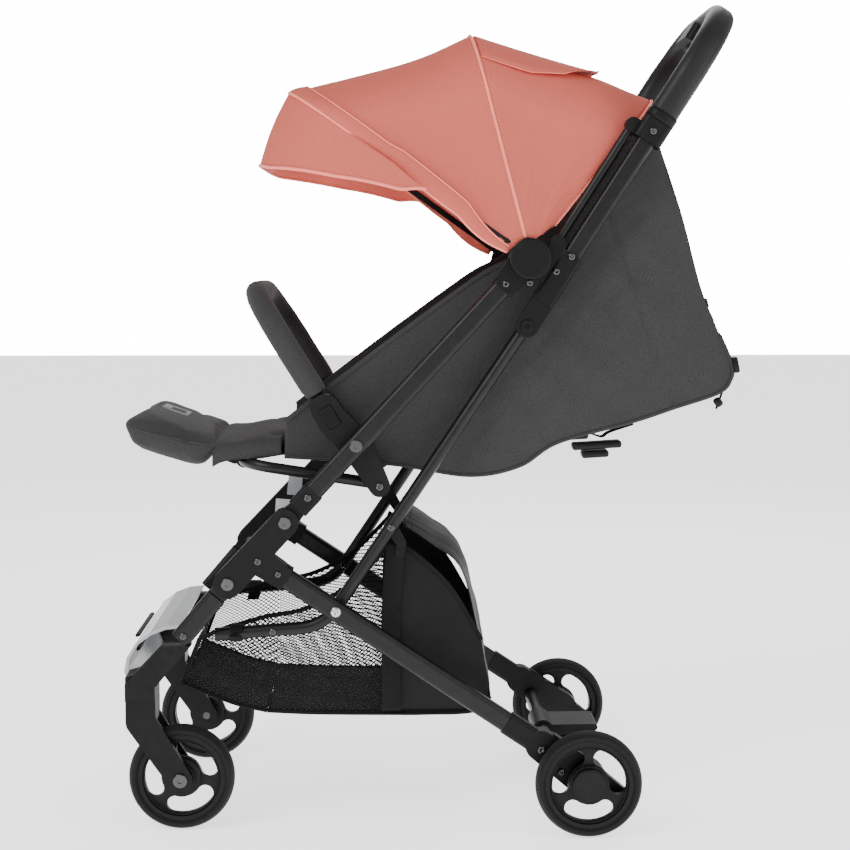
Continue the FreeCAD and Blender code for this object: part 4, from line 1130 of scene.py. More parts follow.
    def flap(self) -> Array:
        """Vent flap: a second layer on the roof behind the middle bow, open along its rear edge."""
        angles = np.linspace(self.mid[0] - 1.0, 68.6, 18)
        across = np.linspace(-1, 1, 41)
        u = np.linspace(0, 1, 18)[:, None]
        half = np.interp(u, (0.0, 0.40, 0.70, 0.90, 1.0), (0.1565, 0.1545, 0.1430, 0.1200, 0.1040))
        x = across[None] * half
        top = self.reach(angles)[:, None]
        edge = np.clip((np.abs(x) - (self.top_half - self.corner)) / self.corner, 0, 1)
        fall = self.corner * (1 - np.sqrt(np.clip(1 - edge**2, 0, 1)))
        gape = 0.0020 + 0.0060 * u**2 * (0.6 + 0.4 * np.cos(math.pi * across[None]))
        r = top - fall + self.crown * (1 - (x / self.top_half) ** 2) + gape
        r = r - np.sin(math.pi * u * 0.9) * 0.001 + 0.0026 * across[None] ** 8
        theta = np.radians(angles)[:, None]
        return np.stack([x, HUB[0] + r * np.cos(theta), HUB[1] + r * np.sin(theta)], axis=-1)


@dataclass
class Padding:
    """How stuffed pieces are made: a closed pillow, remeshed, blown up a little as cloth, then sewn."""

    paint: Paintbox
    voxel: float = 0.005
    frames: int = 20
    pressure: float = 4.0

    @staticmethod
    def pillow(name: str, outline: Sequence[SideView], half: float, square: float = 9.0,
               count: int = 44) -> bpy.types.Object:
        """Closed pillow: a side-view outline that shrinks towards both ends by (1 - |s|^p)^(1/p).

        Args:
            name: object name.
            outline: corners of the section, in order.
            half: half width along X.
            square: p above; larger is squarer.
            count: sections from end to end.

        Returns:
            The new object.
        """
        ring = resample(np.vstack([outline, outline[:1]]), 73)[:-1]
        for _ in range(2):
            ring = (np.roll(ring, 1, axis=0) + 2 * ring + np.roll(ring, -1, axis=0)) / 4
        middle = (ring.min(axis=0) + ring.max(axis=0)) / 2
        s = np.sin(np.linspace(-math.pi / 2, math.pi / 2, count))
        size = np.maximum((1 - np.abs(s) ** square) ** (1 / square), 0.001)[:, None, None]
        depth = np.maximum((1 - np.abs(s) ** square) ** (2.4 / square), 0.001)[:, None]
        flat = middle + (ring[None] - middle) * size
        flat[..., 1] = middle[1] + (ring[None, :, 1] - middle[1]) * depth
        x = np.broadcast_to((s * half)[:, None], flat.shape[:2])
        verts = np.concatenate([x[..., None], flat], axis=-1).reshape(-1, 3)
        faces = [list(f) for f in grid_faces(count, 72, True)]
        faces += [list(range(72)), [(count - 1) * 72 + j for j in range(71, -1, -1)]]
        area = np.sum(ring[:, 0] * np.roll(ring[:, 1], -1) - np.roll(ring[:, 0], -1) * ring[:, 1])
        if area > 0:
            faces = [f[::-1] for f in faces]
        return add_mesh(name, verts, faces)

    @staticmethod
    def points(obj: bpy.types.Object, mesh: Optional[bpy.types.Mesh] = None) -> Array:
        """Corner positions of a mesh as an array."""
        mesh = mesh or obj.data
        co = np.zeros(len(mesh.vertices) * 3)
        mesh.vertices.foreach_get("co", co)
        return co.reshape(-1, 3)

    @staticmethod
    def bake(obj: bpy.types.Object) -> None:
        """Applies the live modifiers."""
        graph = bpy.context.evaluated_depsgraph_get()
        mesh = bpy.data.meshes.new_from_object(obj.evaluated_get(graph))
        obj.modifiers.clear()
        obj.data = mesh

    def inflate(self, obj: bpy.types.Object, cap: float, sew: Callable[[Array], Array]) -> bpy.types.Object:
        """Remeshes, blows up, subdivides and sews a pillow.

        Args:
            obj: closed pillow.
            cap: furthest that any point may move.
            sew: moves the finished points into seams and channels.

        Returns:
            The same object.
        """
        skin = obj.modifiers.new("skin", "REMESH")
        skin.mode, skin.voxel_size = "VOXEL", self.voxel
        self.bake(obj)
        scene = bpy.context.scene
        rest = self.points(obj)
        cloth = obj.modifiers.new("air", "CLOTH")
        cloth.settings.use_pressure = True
        cloth.settings.uniform_pressure_force = self.pressure
        cloth.settings.effector_weights.gravity = 0.0
        cloth.settings.quality = 4
        cloth.settings.mass = 0.3
        cloth.point_cache.frame_start, cloth.point_cache.frame_end = 1, self.frames
        for frame in range(1, self.frames + 1):
            scene.frame_set(frame)
        graph = bpy.context.evaluated_depsgraph_get()
        moved = self.points(obj, obj.evaluated_get(graph).data) - rest
        obj.modifiers.clear()
        far = np.linalg.norm(moved, axis=1, keepdims=True)
        moved *= np.minimum(1, cap / np.maximum(far, 1e-9))
        obj.data.vertices.foreach_set("co", (rest + moved).ravel())
        scene.frame_set(1)
        fine = obj.modifiers.new("fine", "SUBSURF")
        fine.levels = fine.render_levels = 1
        self.bake(obj)
        co = sew(self.points(obj))
        obj.data.vertices.foreach_set("co", co.ravel())
        obj.data.polygons.foreach_set("use_smooth", [True] * len(obj.data.polygons))
        obj.data.update()
        return obj


def groove(distance: Array, depth: float, width: float) -> Array:
    """Depth of a sewn channel at a distance from its line: depth times exp(-(d/width)^2)."""
    return depth * np.exp(-((distance / width) ** 2))


def webbing(name: str, path: Sequence[Sequence[float]], width: float, thick: float, flat: Sequence[float],
            count: int = 50) -> bpy.types.Object:
    """Flat woven strap carried along a smooth path, its face towards flat."""
    line = spline(path, count)
    return sweep(name, line, box_profile(width, thick, thick * 0.45, 3), flat)


@dataclass
class Seat:
    """Fabric body of the seat, its cushions, harness, clips and the strap under the back."""

    paint: Paintbox
    padding: Padding
    half: float = 0.1405
    thick: float = 0.0016
    hinge: SideView = (0.064, 0.474)
    back_angle: float = 20.5

    def on_back(self, along: float, across: float) -> SideView:
        """Point on the backrest, measured from its hinge."""
        a = math.radians(self.back_angle)
        return (self.hinge[0] + along * math.cos(a) - across * math.sin(a),
                self.hinge[1] + along * math.sin(a) + across * math.cos(a))

    def side_curves(self) -> tuple[Array, Array]:
        """Lower and upper edges of a side panel, matched point for point."""
        low = [(-0.176, 0.4635), (-0.100, 0.459), (-0.030, 0.4525), (0.056, 0.4395), (0.118, 0.451),
               (0.167, 0.481), (0.261, 0.507), (0.312, 0.524), (0.368, 0.543), (0.383, 0.560),
               (0.3835, 0.580), (0.361, 0.631), (0.343, 0.675), (0.316, 0.772), (0.289, 0.856)]
        high = [(-0.174, 0.509), (-0.100, 0.566), (-0.031, 0.618), (0.066, 0.688), (0.110, 0.712),
                (0.140, 0.742), (0.170, 0.775), (0.195, 0.803), (0.216, 0.828), (0.230, 0.842),
                (0.243, 0.854), (0.256, 0.862), (0.266, 0.865), (0.278, 0.863), (0.287, 0.858)]
        return spline(low, 150), spline(high, 150)

    def side_grid(self, side: int) -> Array:
        """Side panel: straight lines between its edges, swelling outward, with creases and a seam."""
        low, high = self.side_curves()
        v = np.linspace(0, 1, 48)[None, :, None]
        p = low[:, None] * (1 - v) + high[:, None] * v
        y, z = p[..., 0], p[..., 1]
        v = v[..., 0]
        u = np.linspace(0, 1, 150)[:, None]
        reach = np.linalg.norm(high - low, axis=1)[:, None]
        swell = 0.012 * np.sin(math.pi * v) * np.clip(reach / 0.25, 0, 1)
        waves = 0.0026 * ripple(y, z, 0.16, 5) + 0.0012 * ripple(y * 1.2 - z, z * 0.4, 0.06, 6)
        line = spline(SEAT_SEAM, 60)
        d = np.min(np.hypot(y[..., None] - line[:, 0], z[..., None] - line[:, 1]), axis=-1)
        beside = ((y - 0.12) * 0.7 - (z - 0.55) * 0.7) / 0.05
        fold = 0.0016 * np.sin((y * 0.72 + z * 0.69) * 120) * np.exp(-(beside**2))
        edge = np.sin(math.pi * np.clip(v, 0.0, 1.0)) ** 0.5
        x = self.half - 0.006 * (1 - v) + swell * 0.45 + (waves + fold) * edge - groove(d, 0.0022, 0.0035)
        x = np.minimum(x, 0.1515) - 0.008 * np.clip((u - 0.9) / 0.1, 0, 1) ** 2
        return np.stack([side * x, y, z], axis=-1)

    def fabric(self) -> None:
        """Sides, back panel and underside, with bindings, zip and stitches."""
        f = self.paint.finishes
        low, _ = self.side_curves()
        count = len(low)
        names = []
        for side, word in SIDES:
            p = self.side_grid(side)
            panel = cloth_panel(f"seat_side_{word}", p, self.thick, np.array([side, 0, 0]))
            self.paint.dress(panel, f.grey)
            top = self.paint.dress(sweep(f"seat_top_binding_{word}", p[:, -1],
                                         box_profile(0.006, 0.0035, 0.0014, 3)), f.grey)
            under = self.paint.dress(sweep(f"seat_low_piping_{word}", p[: int(count * 0.72), 0],
                                           ring_profile(0.0022, 8)), f.grey)
            names += [panel, top, under]
            seam = spline(SEAT_SEAM, 90)
            flat = p.reshape(-1, 3)
            near = np.array([flat[np.argmin(np.hypot(flat[:, 1] - y, flat[:, 2] - z)), 0] for y, z in seam])
            near = np.convolve(np.pad(near, 4, mode="edge"), np.ones(9) / 9, mode="valid")
            line = np.column_stack([near + side * 0.0004, seam])
            out = np.broadcast_to([side, 0, 0], line.shape)
            across = unit(np.cross(out, np.gradient(line, axis=0)))
            for k, offset in enumerate((-0.0022, 0.0022)):
                names.append(self.paint.dress(stitches(f"seat_seam_{word}_{k}", line, out, across, 0.0045,
                                                       0.003, 0.00035, offset), f.grey))
            edge = p[2:-2, 1]
            out = np.broadcast_to([side, 0, 0], edge.shape)
            across = unit(np.cross(out, np.gradient(edge, axis=0)))
            names.append(self.paint.dress(stitches(f"seat_edge_stitch_{word}", edge, out, across, 0.0045,
                                                   0.003, 0.00035, 0.003), f.grey))

        rear = low[int(count * 0.70):]
        x = np.linspace(-1, 1, 61)
        v = np.linspace(0, 1, len(rear))[:, None]
        bow = 0.010 * (1 - x[None] ** 2) * np.sin(math.pi * v)
        dent = 0.0022 * ripple(x[None] * 0.14, rear[:, :1], 0.12, 9)
        half = self.half - 0.006 - 0.008 * np.clip((v - 0.75) / 0.25, 0, 1) ** 2
        p = np.stack([x[None] * half, rear[:, :1] - bow * 0.55 + dent,
                      rear[:, 1:] - bow * 0.2 + 0 * x[None]], axis=-1)
        back = self.paint.dress(cloth_panel("seat_rear_panel", p, self.thick, np.array([0, 1, 0.3])),
                                f.grey)
        names.append(back)
        for side, word in SIDES:
            at = 6 if side < 0 else -7
            line = p[3:-3, at]
            tape = sweep(f"seat_zip_tape_{word}", line + [0, 0.0006, 0.0002],
                         box_profile(0.020, 0.0012, 0.0005, 3), (0, 1, 0.3))
            names.append(self.paint.dress(tape, f.tape))
            normal = unit(np.cross(np.gradient(line, axis=0), [1, 0, 0]))
            normal = normal * np.sign(normal[:, 1:2] + 1e-9)
            teeth = stitches(f"seat_zip_{word}", line + normal * 0.0016, normal,
                             np.broadcast_to([1.0, 0, 0], line.shape), 0.0024, 0.0016, 0.0024)
            names.append(self.paint.dress(teeth, f.buckle))
            pull = block(f"seat_zip_pull_{word}", line[6] + normal[6] * 0.004, (0.012, 0.004, 0.007),
                         side_axes((-0.3, 1.0)), 0.0012)
            names.append(self.paint.dress(pull, f.buckle))
        for obj in names:
            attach(obj, "seat_frame")
            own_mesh(obj)
        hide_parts("seat_shell")

        base = low[: int(count * 0.72)]
        v = np.linspace(0, 1, len(base))[:, None]
        sag = 0.008 * (1 - x[None] ** 2) * np.sin(math.pi * v)
        dent = 0.0018 * ripple(x[None] * 0.14, base[:, :1], 0.11, 12)
        p = np.stack([x[None] * (self.half - 0.0065) + 0 * v, base[:, :1] + 0 * x[None],
                      base[:, 1:] + 0.002 + sag * 0.4 + dent], axis=-1)
        under = self.paint.dress(cloth_panel("seat_underside", p, self.thick, np.array([0, 0, -1])), f.grey)
        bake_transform(under)
        log.info("seat: fabric body of %d pieces", len(names) + 1)

    def cushions(self) -> None:
        """Seat cushion, backrest and their sewn channels."""
        f = self.paint.finishes
        seat = self.padding.pillow("seat_cushion_pad",
                                   [(-0.205, 0.4725), (-0.221, 0.486), (-0.219, 0.500), (-0.203, 0.5055),
                                    (-0.150, 0.5045), (0.035, 0.4945), (0.050, 0.485), (0.050, 0.4725)],
                                    0.129)

        def sew_seat(co: Array) -> Array:
            """Cross channels on the front half, and a front edge that rolls down."""
            top = np.clip((co[:, 2] - 0.487) / 0.010, 0, 1)
            co[:, 2] -= 0.014 * top * np.clip((-0.130 - co[:, 1]) / 0.055, 0, 1) ** 1.5
            for y in (-0.175, -0.130, -0.085):
                co[:, 2] -= groove(co[:, 1] - y, 0.004, 0.005) * top
            rear = top * np.clip((co[:, 1] + 0.085) / 0.01, 0, 1)
            for x in (-0.075, 0.075):
                co[:, 2] -= groove(co[:, 0] - x, 0.003, 0.005) * rear
            return co

        self.padding.inflate(seat, 0.005, sew_seat)
        self.paint.dress(seat, f.grey, "seat_frame")
        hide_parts("seat_cushion")

        outline = [self.on_back(0.022, 0.001), self.on_back(0.312, 0.001), self.on_back(0.306, 0.016),
                   self.on_back(0.040, 0.016), self.on_back(0.024, 0.008)]
        back = self.padding.pillow("backrest_pad", outline, 0.128)
        a = math.radians(self.back_angle)

        def sew_back(co: Array) -> Array:
            """Two side bolsters, a head cushion and cross channels."""
            along = (co[:, 1] - self.hinge[0]) * math.cos(a) + (co[:, 2] - self.hinge[1]) * math.sin(a)
            across = -(co[:, 1] - self.hinge[0]) * math.sin(a) + (co[:, 2] - self.hinge[1]) * math.cos(a)
            top = np.clip((across - 0.010) / 0.006, 0, 1)
            dip = groove(np.abs(co[:, 0]) - 0.085, 0.004, 0.005)
            for s in (0.095, 0.165, 0.235):
                dip += groove(along - s, 0.0035, 0.005) * (np.abs(co[:, 0]) < 0.086)
            co[:, 1] += dip * top * math.sin(a)
            co[:, 2] -= dip * top * math.cos(a)
            return co

        self.padding.inflate(back, 0.006, sew_back)
        self.paint.dress(back, f.grey, "backrest")
        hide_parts("backrest")
        axes = side_axes((math.cos(a), math.sin(a)))
        middle = self.on_back(0.160, -0.004)
        board = block("backrest_board", (0, *middle), (0.312, 0.003, 0.258), axes, 0.0012)
        self.paint.dress(board, f.board, "backrest")

    def harness(self) -> None:
        """Five-point harness: crotch strap, buckle, waist straps, shoulder straps and their pads."""
        f = self.paint.finishes
        crotch = webbing("harness_crotch", [(0, -0.0795, 0.506), (0, -0.0780, 0.520), (0, -0.0750, 0.534)],
                         0.025, 0.0016, (0, -1, 0.2), 14)
        pad = webbing("harness_crotch_pad",
                      [(0, -0.0795, 0.509), (0, -0.0782, 0.519), (0, -0.0762, 0.529)], 0.040, 0.006,
                      (0, -1, 0.2), 14)
        self.paint.dress(crotch, f.tape, "seat_frame")
        self.paint.dress(pad, f.grey, "seat_frame")
        axes = side_axes((0.428, 0.904))
        shell = block("harness_buckle_body", (0, -0.0670, 0.5490), (0.041, 0.013, 0.050), axes, 0.004)
        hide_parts("harness_buckle")
        self.paint.dress(shell, f.buckle, "seat_frame")
        button = block("harness_buckle_button", (0, -0.0731, 0.5517), (0.020, 0.004, 0.024), axes, 0.0016)
        self.paint.dress(button, f.plastic, "seat_frame")
        for side, word in SIDES:
            waist = webbing(f"harness_waist_{word}",
                            [(side * 0.127, 0.030, 0.512), (side * 0.100, -0.010, 0.529),
                             (side * 0.060, -0.048, 0.544), (side * 0.024, -0.066, 0.549)],
                            0.025, 0.0015, (0, 0, 1), 40)
            self.paint.dress(waist, f.tape, "seat_frame")
            places = ((0.105, 0.030), (0.165, 0.027), (0.235, 0.0265))
            low, mid, high = (self.on_back(along, across) for along, across in places)
            strap = webbing(f"harness_shoulder_{word}",
                            [(side * 0.018, -0.060, 0.566), (side * 0.030, -0.020, 0.561),
                             (side * 0.045, 0.070, 0.546), (side * 0.052, *low), (side * 0.055, *mid),
                             (side * 0.056, *high)], 0.025, 0.0015, (0, -0.35, 0.94), 70)
            self.paint.dress(strap, f.tape)
            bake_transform(strap)
            sleeve = webbing(f"harness_shoulder_pad_{word}",
                             [(side * 0.0525, *low), (side * 0.055, *mid), (side * 0.056, *high)], 0.046,
                             0.010, (0, -0.35, 0.94), 40)
            self.paint.dress(sleeve, f.grey, "backrest")

    def clips(self) -> None:
        """Straps and buckles under the back, the drawcord's end, the rear clip and the light tabs."""
        f = self.paint.finishes
        for side, word in SIDES:
            x = side * 0.120
            strap = webbing(f"under_strap_{word}",
                            [(x, 0.150, 0.475), (x, 0.180, 0.487), (x, 0.205, 0.4915), (x, 0.222, 0.487),
                             (x, 0.232, 0.493), (x, 0.262, 0.503)], 0.020, 0.0016, (0, 0, 1), 36)
            self.paint.dress(strap, f.tape, "seat_frame")
            for k, (y, z, length) in enumerate(((0.216, 0.4765, 0.062), (0.214, 0.4655, 0.034))):
                self.paint.dress(block(f"under_buckle_{word}_{k}", (x, y, z), (length, 0.009, 0.026),
                                       side_axes((1, 0.06)), 0.003), f.buckle, "seat_frame")
        clip = block("rear_strap_clip", (0.130, 0.3885, 0.578), (0.020, 0.007, 0.020),
                     side_axes((0.2, -1)), 0.002)
        self.paint.dress(clip, f.buckle, "seat_frame")
        toggle = block("drawcord_toggle", (0.126, 0.3685, 0.5305), (0.012, 0.010, 0.010),
                       side_axes((0.6, -0.8)), 0.0035)
        self.paint.dress(toggle, f.buckle, "seat_frame")
        tail = webbing("drawcord_tail",
                       [(0.126, 0.374, 0.545), (0.126, 0.370, 0.533), (0.126, 0.366, 0.522)], 0.003, 0.003,
                       (1, 0, 0), 12)
        self.paint.dress(tail, f.tape, "seat_frame")
        for side, word in SIDES:
            tab = webbing(f"seat_tab_{word}",
                          [(side * 0.1475, -0.176, 0.412), (side * 0.1485, -0.177, 0.398),
                           (side * 0.1480, -0.179, 0.380)], 0.020, 0.0012, (1, 0, 0), 14)
            self.paint.dress(tab, f.label, "seat_frame")

    def build(self) -> None:
        """Builds the whole seat."""
        self.fabric()
        self.cushions()
        self.harness()
        self.clips()


@dataclass
class Footrest:
    """Padded footrest: sewn pad, piping, plain plate and the strip that joins it to the seat."""

    paint: Paintbox
    padding: Padding

    def build(self) -> None:
        """Builds the pad and its trim on the tilting frame."""
        f = self.paint.finishes
        outline = [(-0.372, 0.512), (-0.357, 0.516), (-0.342, 0.5135), (-0.309, 0.502), (-0.262, 0.486),
                   (-0.252, 0.479), (-0.262, 0.468), (-0.277, 0.452), (-0.286, 0.454), (-0.369, 0.480),
                   (-0.373, 0.494), (-0.381, 0.507)]
        pad = self.padding.pillow("footrest_cushion", outline, 0.139, 12.0)

        def sew(co: Array) -> Array:
            """One shallow cross channel, and a top that falls away towards its rear corners."""
            level = np.interp(co[:, 1], (-0.37, -0.25), (0.500, 0.472))
            top = np.clip((co[:, 2] - level) / 0.010, 0, 1)
            co[:, 2] -= groove(co[:, 1] + 0.300, 0.0022, 0.0060) * top
            side = np.clip(np.abs(co[:, 0]) / 0.139, 0, 1)
            co[:, 2] -= 0.011 * top * side**3 * np.clip((co[:, 1] + 0.375) / 0.05, 0, 1)
            return co

        self.padding.inflate(pad, 0.005, sew)
        self.paint.dress(pad, f.grey, "footrest")
        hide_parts("footrest_pad")
        co = self.padding.points(pad)
        cord = sweep("footrest_piping", self.rim(co, 0.0165), ring_profile(0.0016, 8), (0, 0, 1),
                     closed=True)
        self.paint.dress(cord, f.grey, "footrest")
        self.knee()
        plate = block("footrest_plate", (0.0, -0.325, 0.5120), (0.036, 0.0016, 0.060),
                      side_axes((0.945, -0.33)), 0.0007)
        self.paint.dress(plate, f.steel, "footrest")

    def knee(self) -> None:
        """Quilted strip that bridges the footrest and the seat cushion, with its sides turned down."""
        line = spline([(-0.266, 0.4835), (-0.256, 0.4890), (-0.243, 0.4915), (-0.226, 0.4925),
                       (-0.208, 0.4935), (-0.180, 0.4975)], 28)
        x = np.array([-0.1370, -0.1372, -0.1360, -0.131, -0.124, *np.linspace(-0.11, 0.11, 23), 0.124,
                      0.131, 0.1360, 0.1372, 0.1370])
        drop = np.interp(np.abs(x), (0.0, 0.060, 0.100, 0.124, 0.131, 0.136),
                         (0.0, 0.001, 0.004, 0.008, 0.011, 0.017))
        drop[[0, -1]], drop[[1, -2]] = 0.032, 0.025
        v = np.linspace(0, 1, 28)[:, None]
        quilt = 0.0016 * np.cos(v * math.tau * 1.5) * (np.abs(x[None]) < 0.125)
        quilt = quilt + 0.0008 * ripple(x[None], v * 0.08, 0.07, 31)
        p = np.stack([x[None] + 0 * v, line[:, :1] + 0 * x[None], line[:, 1:] - drop[None] + quilt],
                     axis=-1)
        strip = self.paint.dress(cloth_panel("footrest_knee", p, 0.0045, np.array([0, 0, 1])),
                                 self.paint.finishes.grey)
        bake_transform(strip)

    @staticmethod
    def rim(co: Array, down: float) -> Array:
        """Closed line of the pad's outermost points at a depth below its crown."""
        front, rear = co[:, 1].min(), co[:, 1].max()
        y = co[:, 1]
        level = 0.517 - 0.319 * (y + 0.356) - down
        band = np.abs(co[:, 2] - level) < 0.004
        pts = co[band]
        centre = np.array([0.0, (front + rear) / 2])
        angle = np.arctan2((pts[:, 1] - centre[1]) / (rear - front), pts[:, 0] / 0.29)
        far = np.hypot(pts[:, 0] / 0.29, (pts[:, 1] - centre[1]) / (rear - front))
        bins = ((angle + math.pi) / math.tau * 120).astype(int) % 120
        line = [pts[bins == b][np.argmax(far[bins == b])] for b in range(120) if (bins == b).any()]
        line = np.array(line)
        for _ in range(3):
            line = (np.roll(line, 1, axis=0) + 2 * line + np.roll(line, -1, axis=0)) / 4
        return line


@dataclass
class Bumper:
    """Foam bumper bar in a grey sleeve with a stitched seam on its inner side."""

    paint: Paintbox
    x: float = 0.158
    radius: float = 0.0145
    corner: float = 0.080
    foot: SideView = (-0.112, 0.508)
    top: SideView = (-0.212, 0.668)
    start: float = 0.0425

    def build(self) -> None:
        """Sleeve along the hoop, its seam and thread, and the moulded plugs at its ends."""
        f = self.paint.finishes
        d = np.array(self.top) - np.array(self.foot)
        length = float(np.linalg.norm(d))
        d = d / length
        t = np.linspace(0, math.pi / 2, 24)
        arm = np.linspace(self.start, length - self.corner, 20)[:-1]
        s = np.concatenate([arm, length - self.corner + self.corner * np.sin(t)])
        x = np.concatenate([np.full(19, self.x), self.x - self.corner * (1 - np.cos(t))])
        across = np.linspace(self.x - self.corner, -(self.x - self.corner), 30)[1:-1]
        x = np.concatenate([x, across, -x[::-1]])
        s = np.concatenate([s, np.full(28, length), s[::-1]])
        path = resample(np.column_stack([x, self.foot[0] + d[0] * s, self.foot[1] + d[1] * s]), 170)
        q = np.linspace(0, 1, 170)
        puff = 1 + 0.008 * np.sin(q * 95) + 0.008 * np.sin(q * 37 + 2)
        size = puff * (1 - 0.10 * np.exp(-np.minimum(q, 1 - q) * 120))
        normal = np.array([0.0, d[1], -d[0]])
        sleeve = sweep("bumper_sleeve", path, ring_profile(self.radius * 0.985, 28), normal, scale=size)
        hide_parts("bumper_bar")
        self.paint.dress(sleeve, f.grey, "bumper")
        across_v, lift = frames_along(path, normal)
        inner = path - lift * self.radius * 0.99
        seam = sweep("bumper_seam", inner[3:-3], ring_profile(0.0010, 6), normal)
        self.paint.dress(seam, f.grey, "bumper")
        thread = stitches("bumper_thread", inner[3:-3] - lift[3:-3] * 0.0003, -lift[3:-3], across_v[3:-3],
                          0.005, 0.0032, 0.0004, 0.003)
        self.paint.dress(thread, f.grey, "bumper")
        for side, word in SIDES:
            low = np.array([side * (self.x + 0.003), *(np.array(self.foot) + d * 0.0022)])
            high = np.array([side * (self.x + 0.003), *(np.array(self.foot) + d * 0.044)])
            plug = sweep(f"bumper_plug_{word}", np.linspace(low, high, 6),
                         box_profile(0.0118, 0.0196, 0.0028, 4), normal)
            self.paint.dress(plug, f.plastic, "bumper")


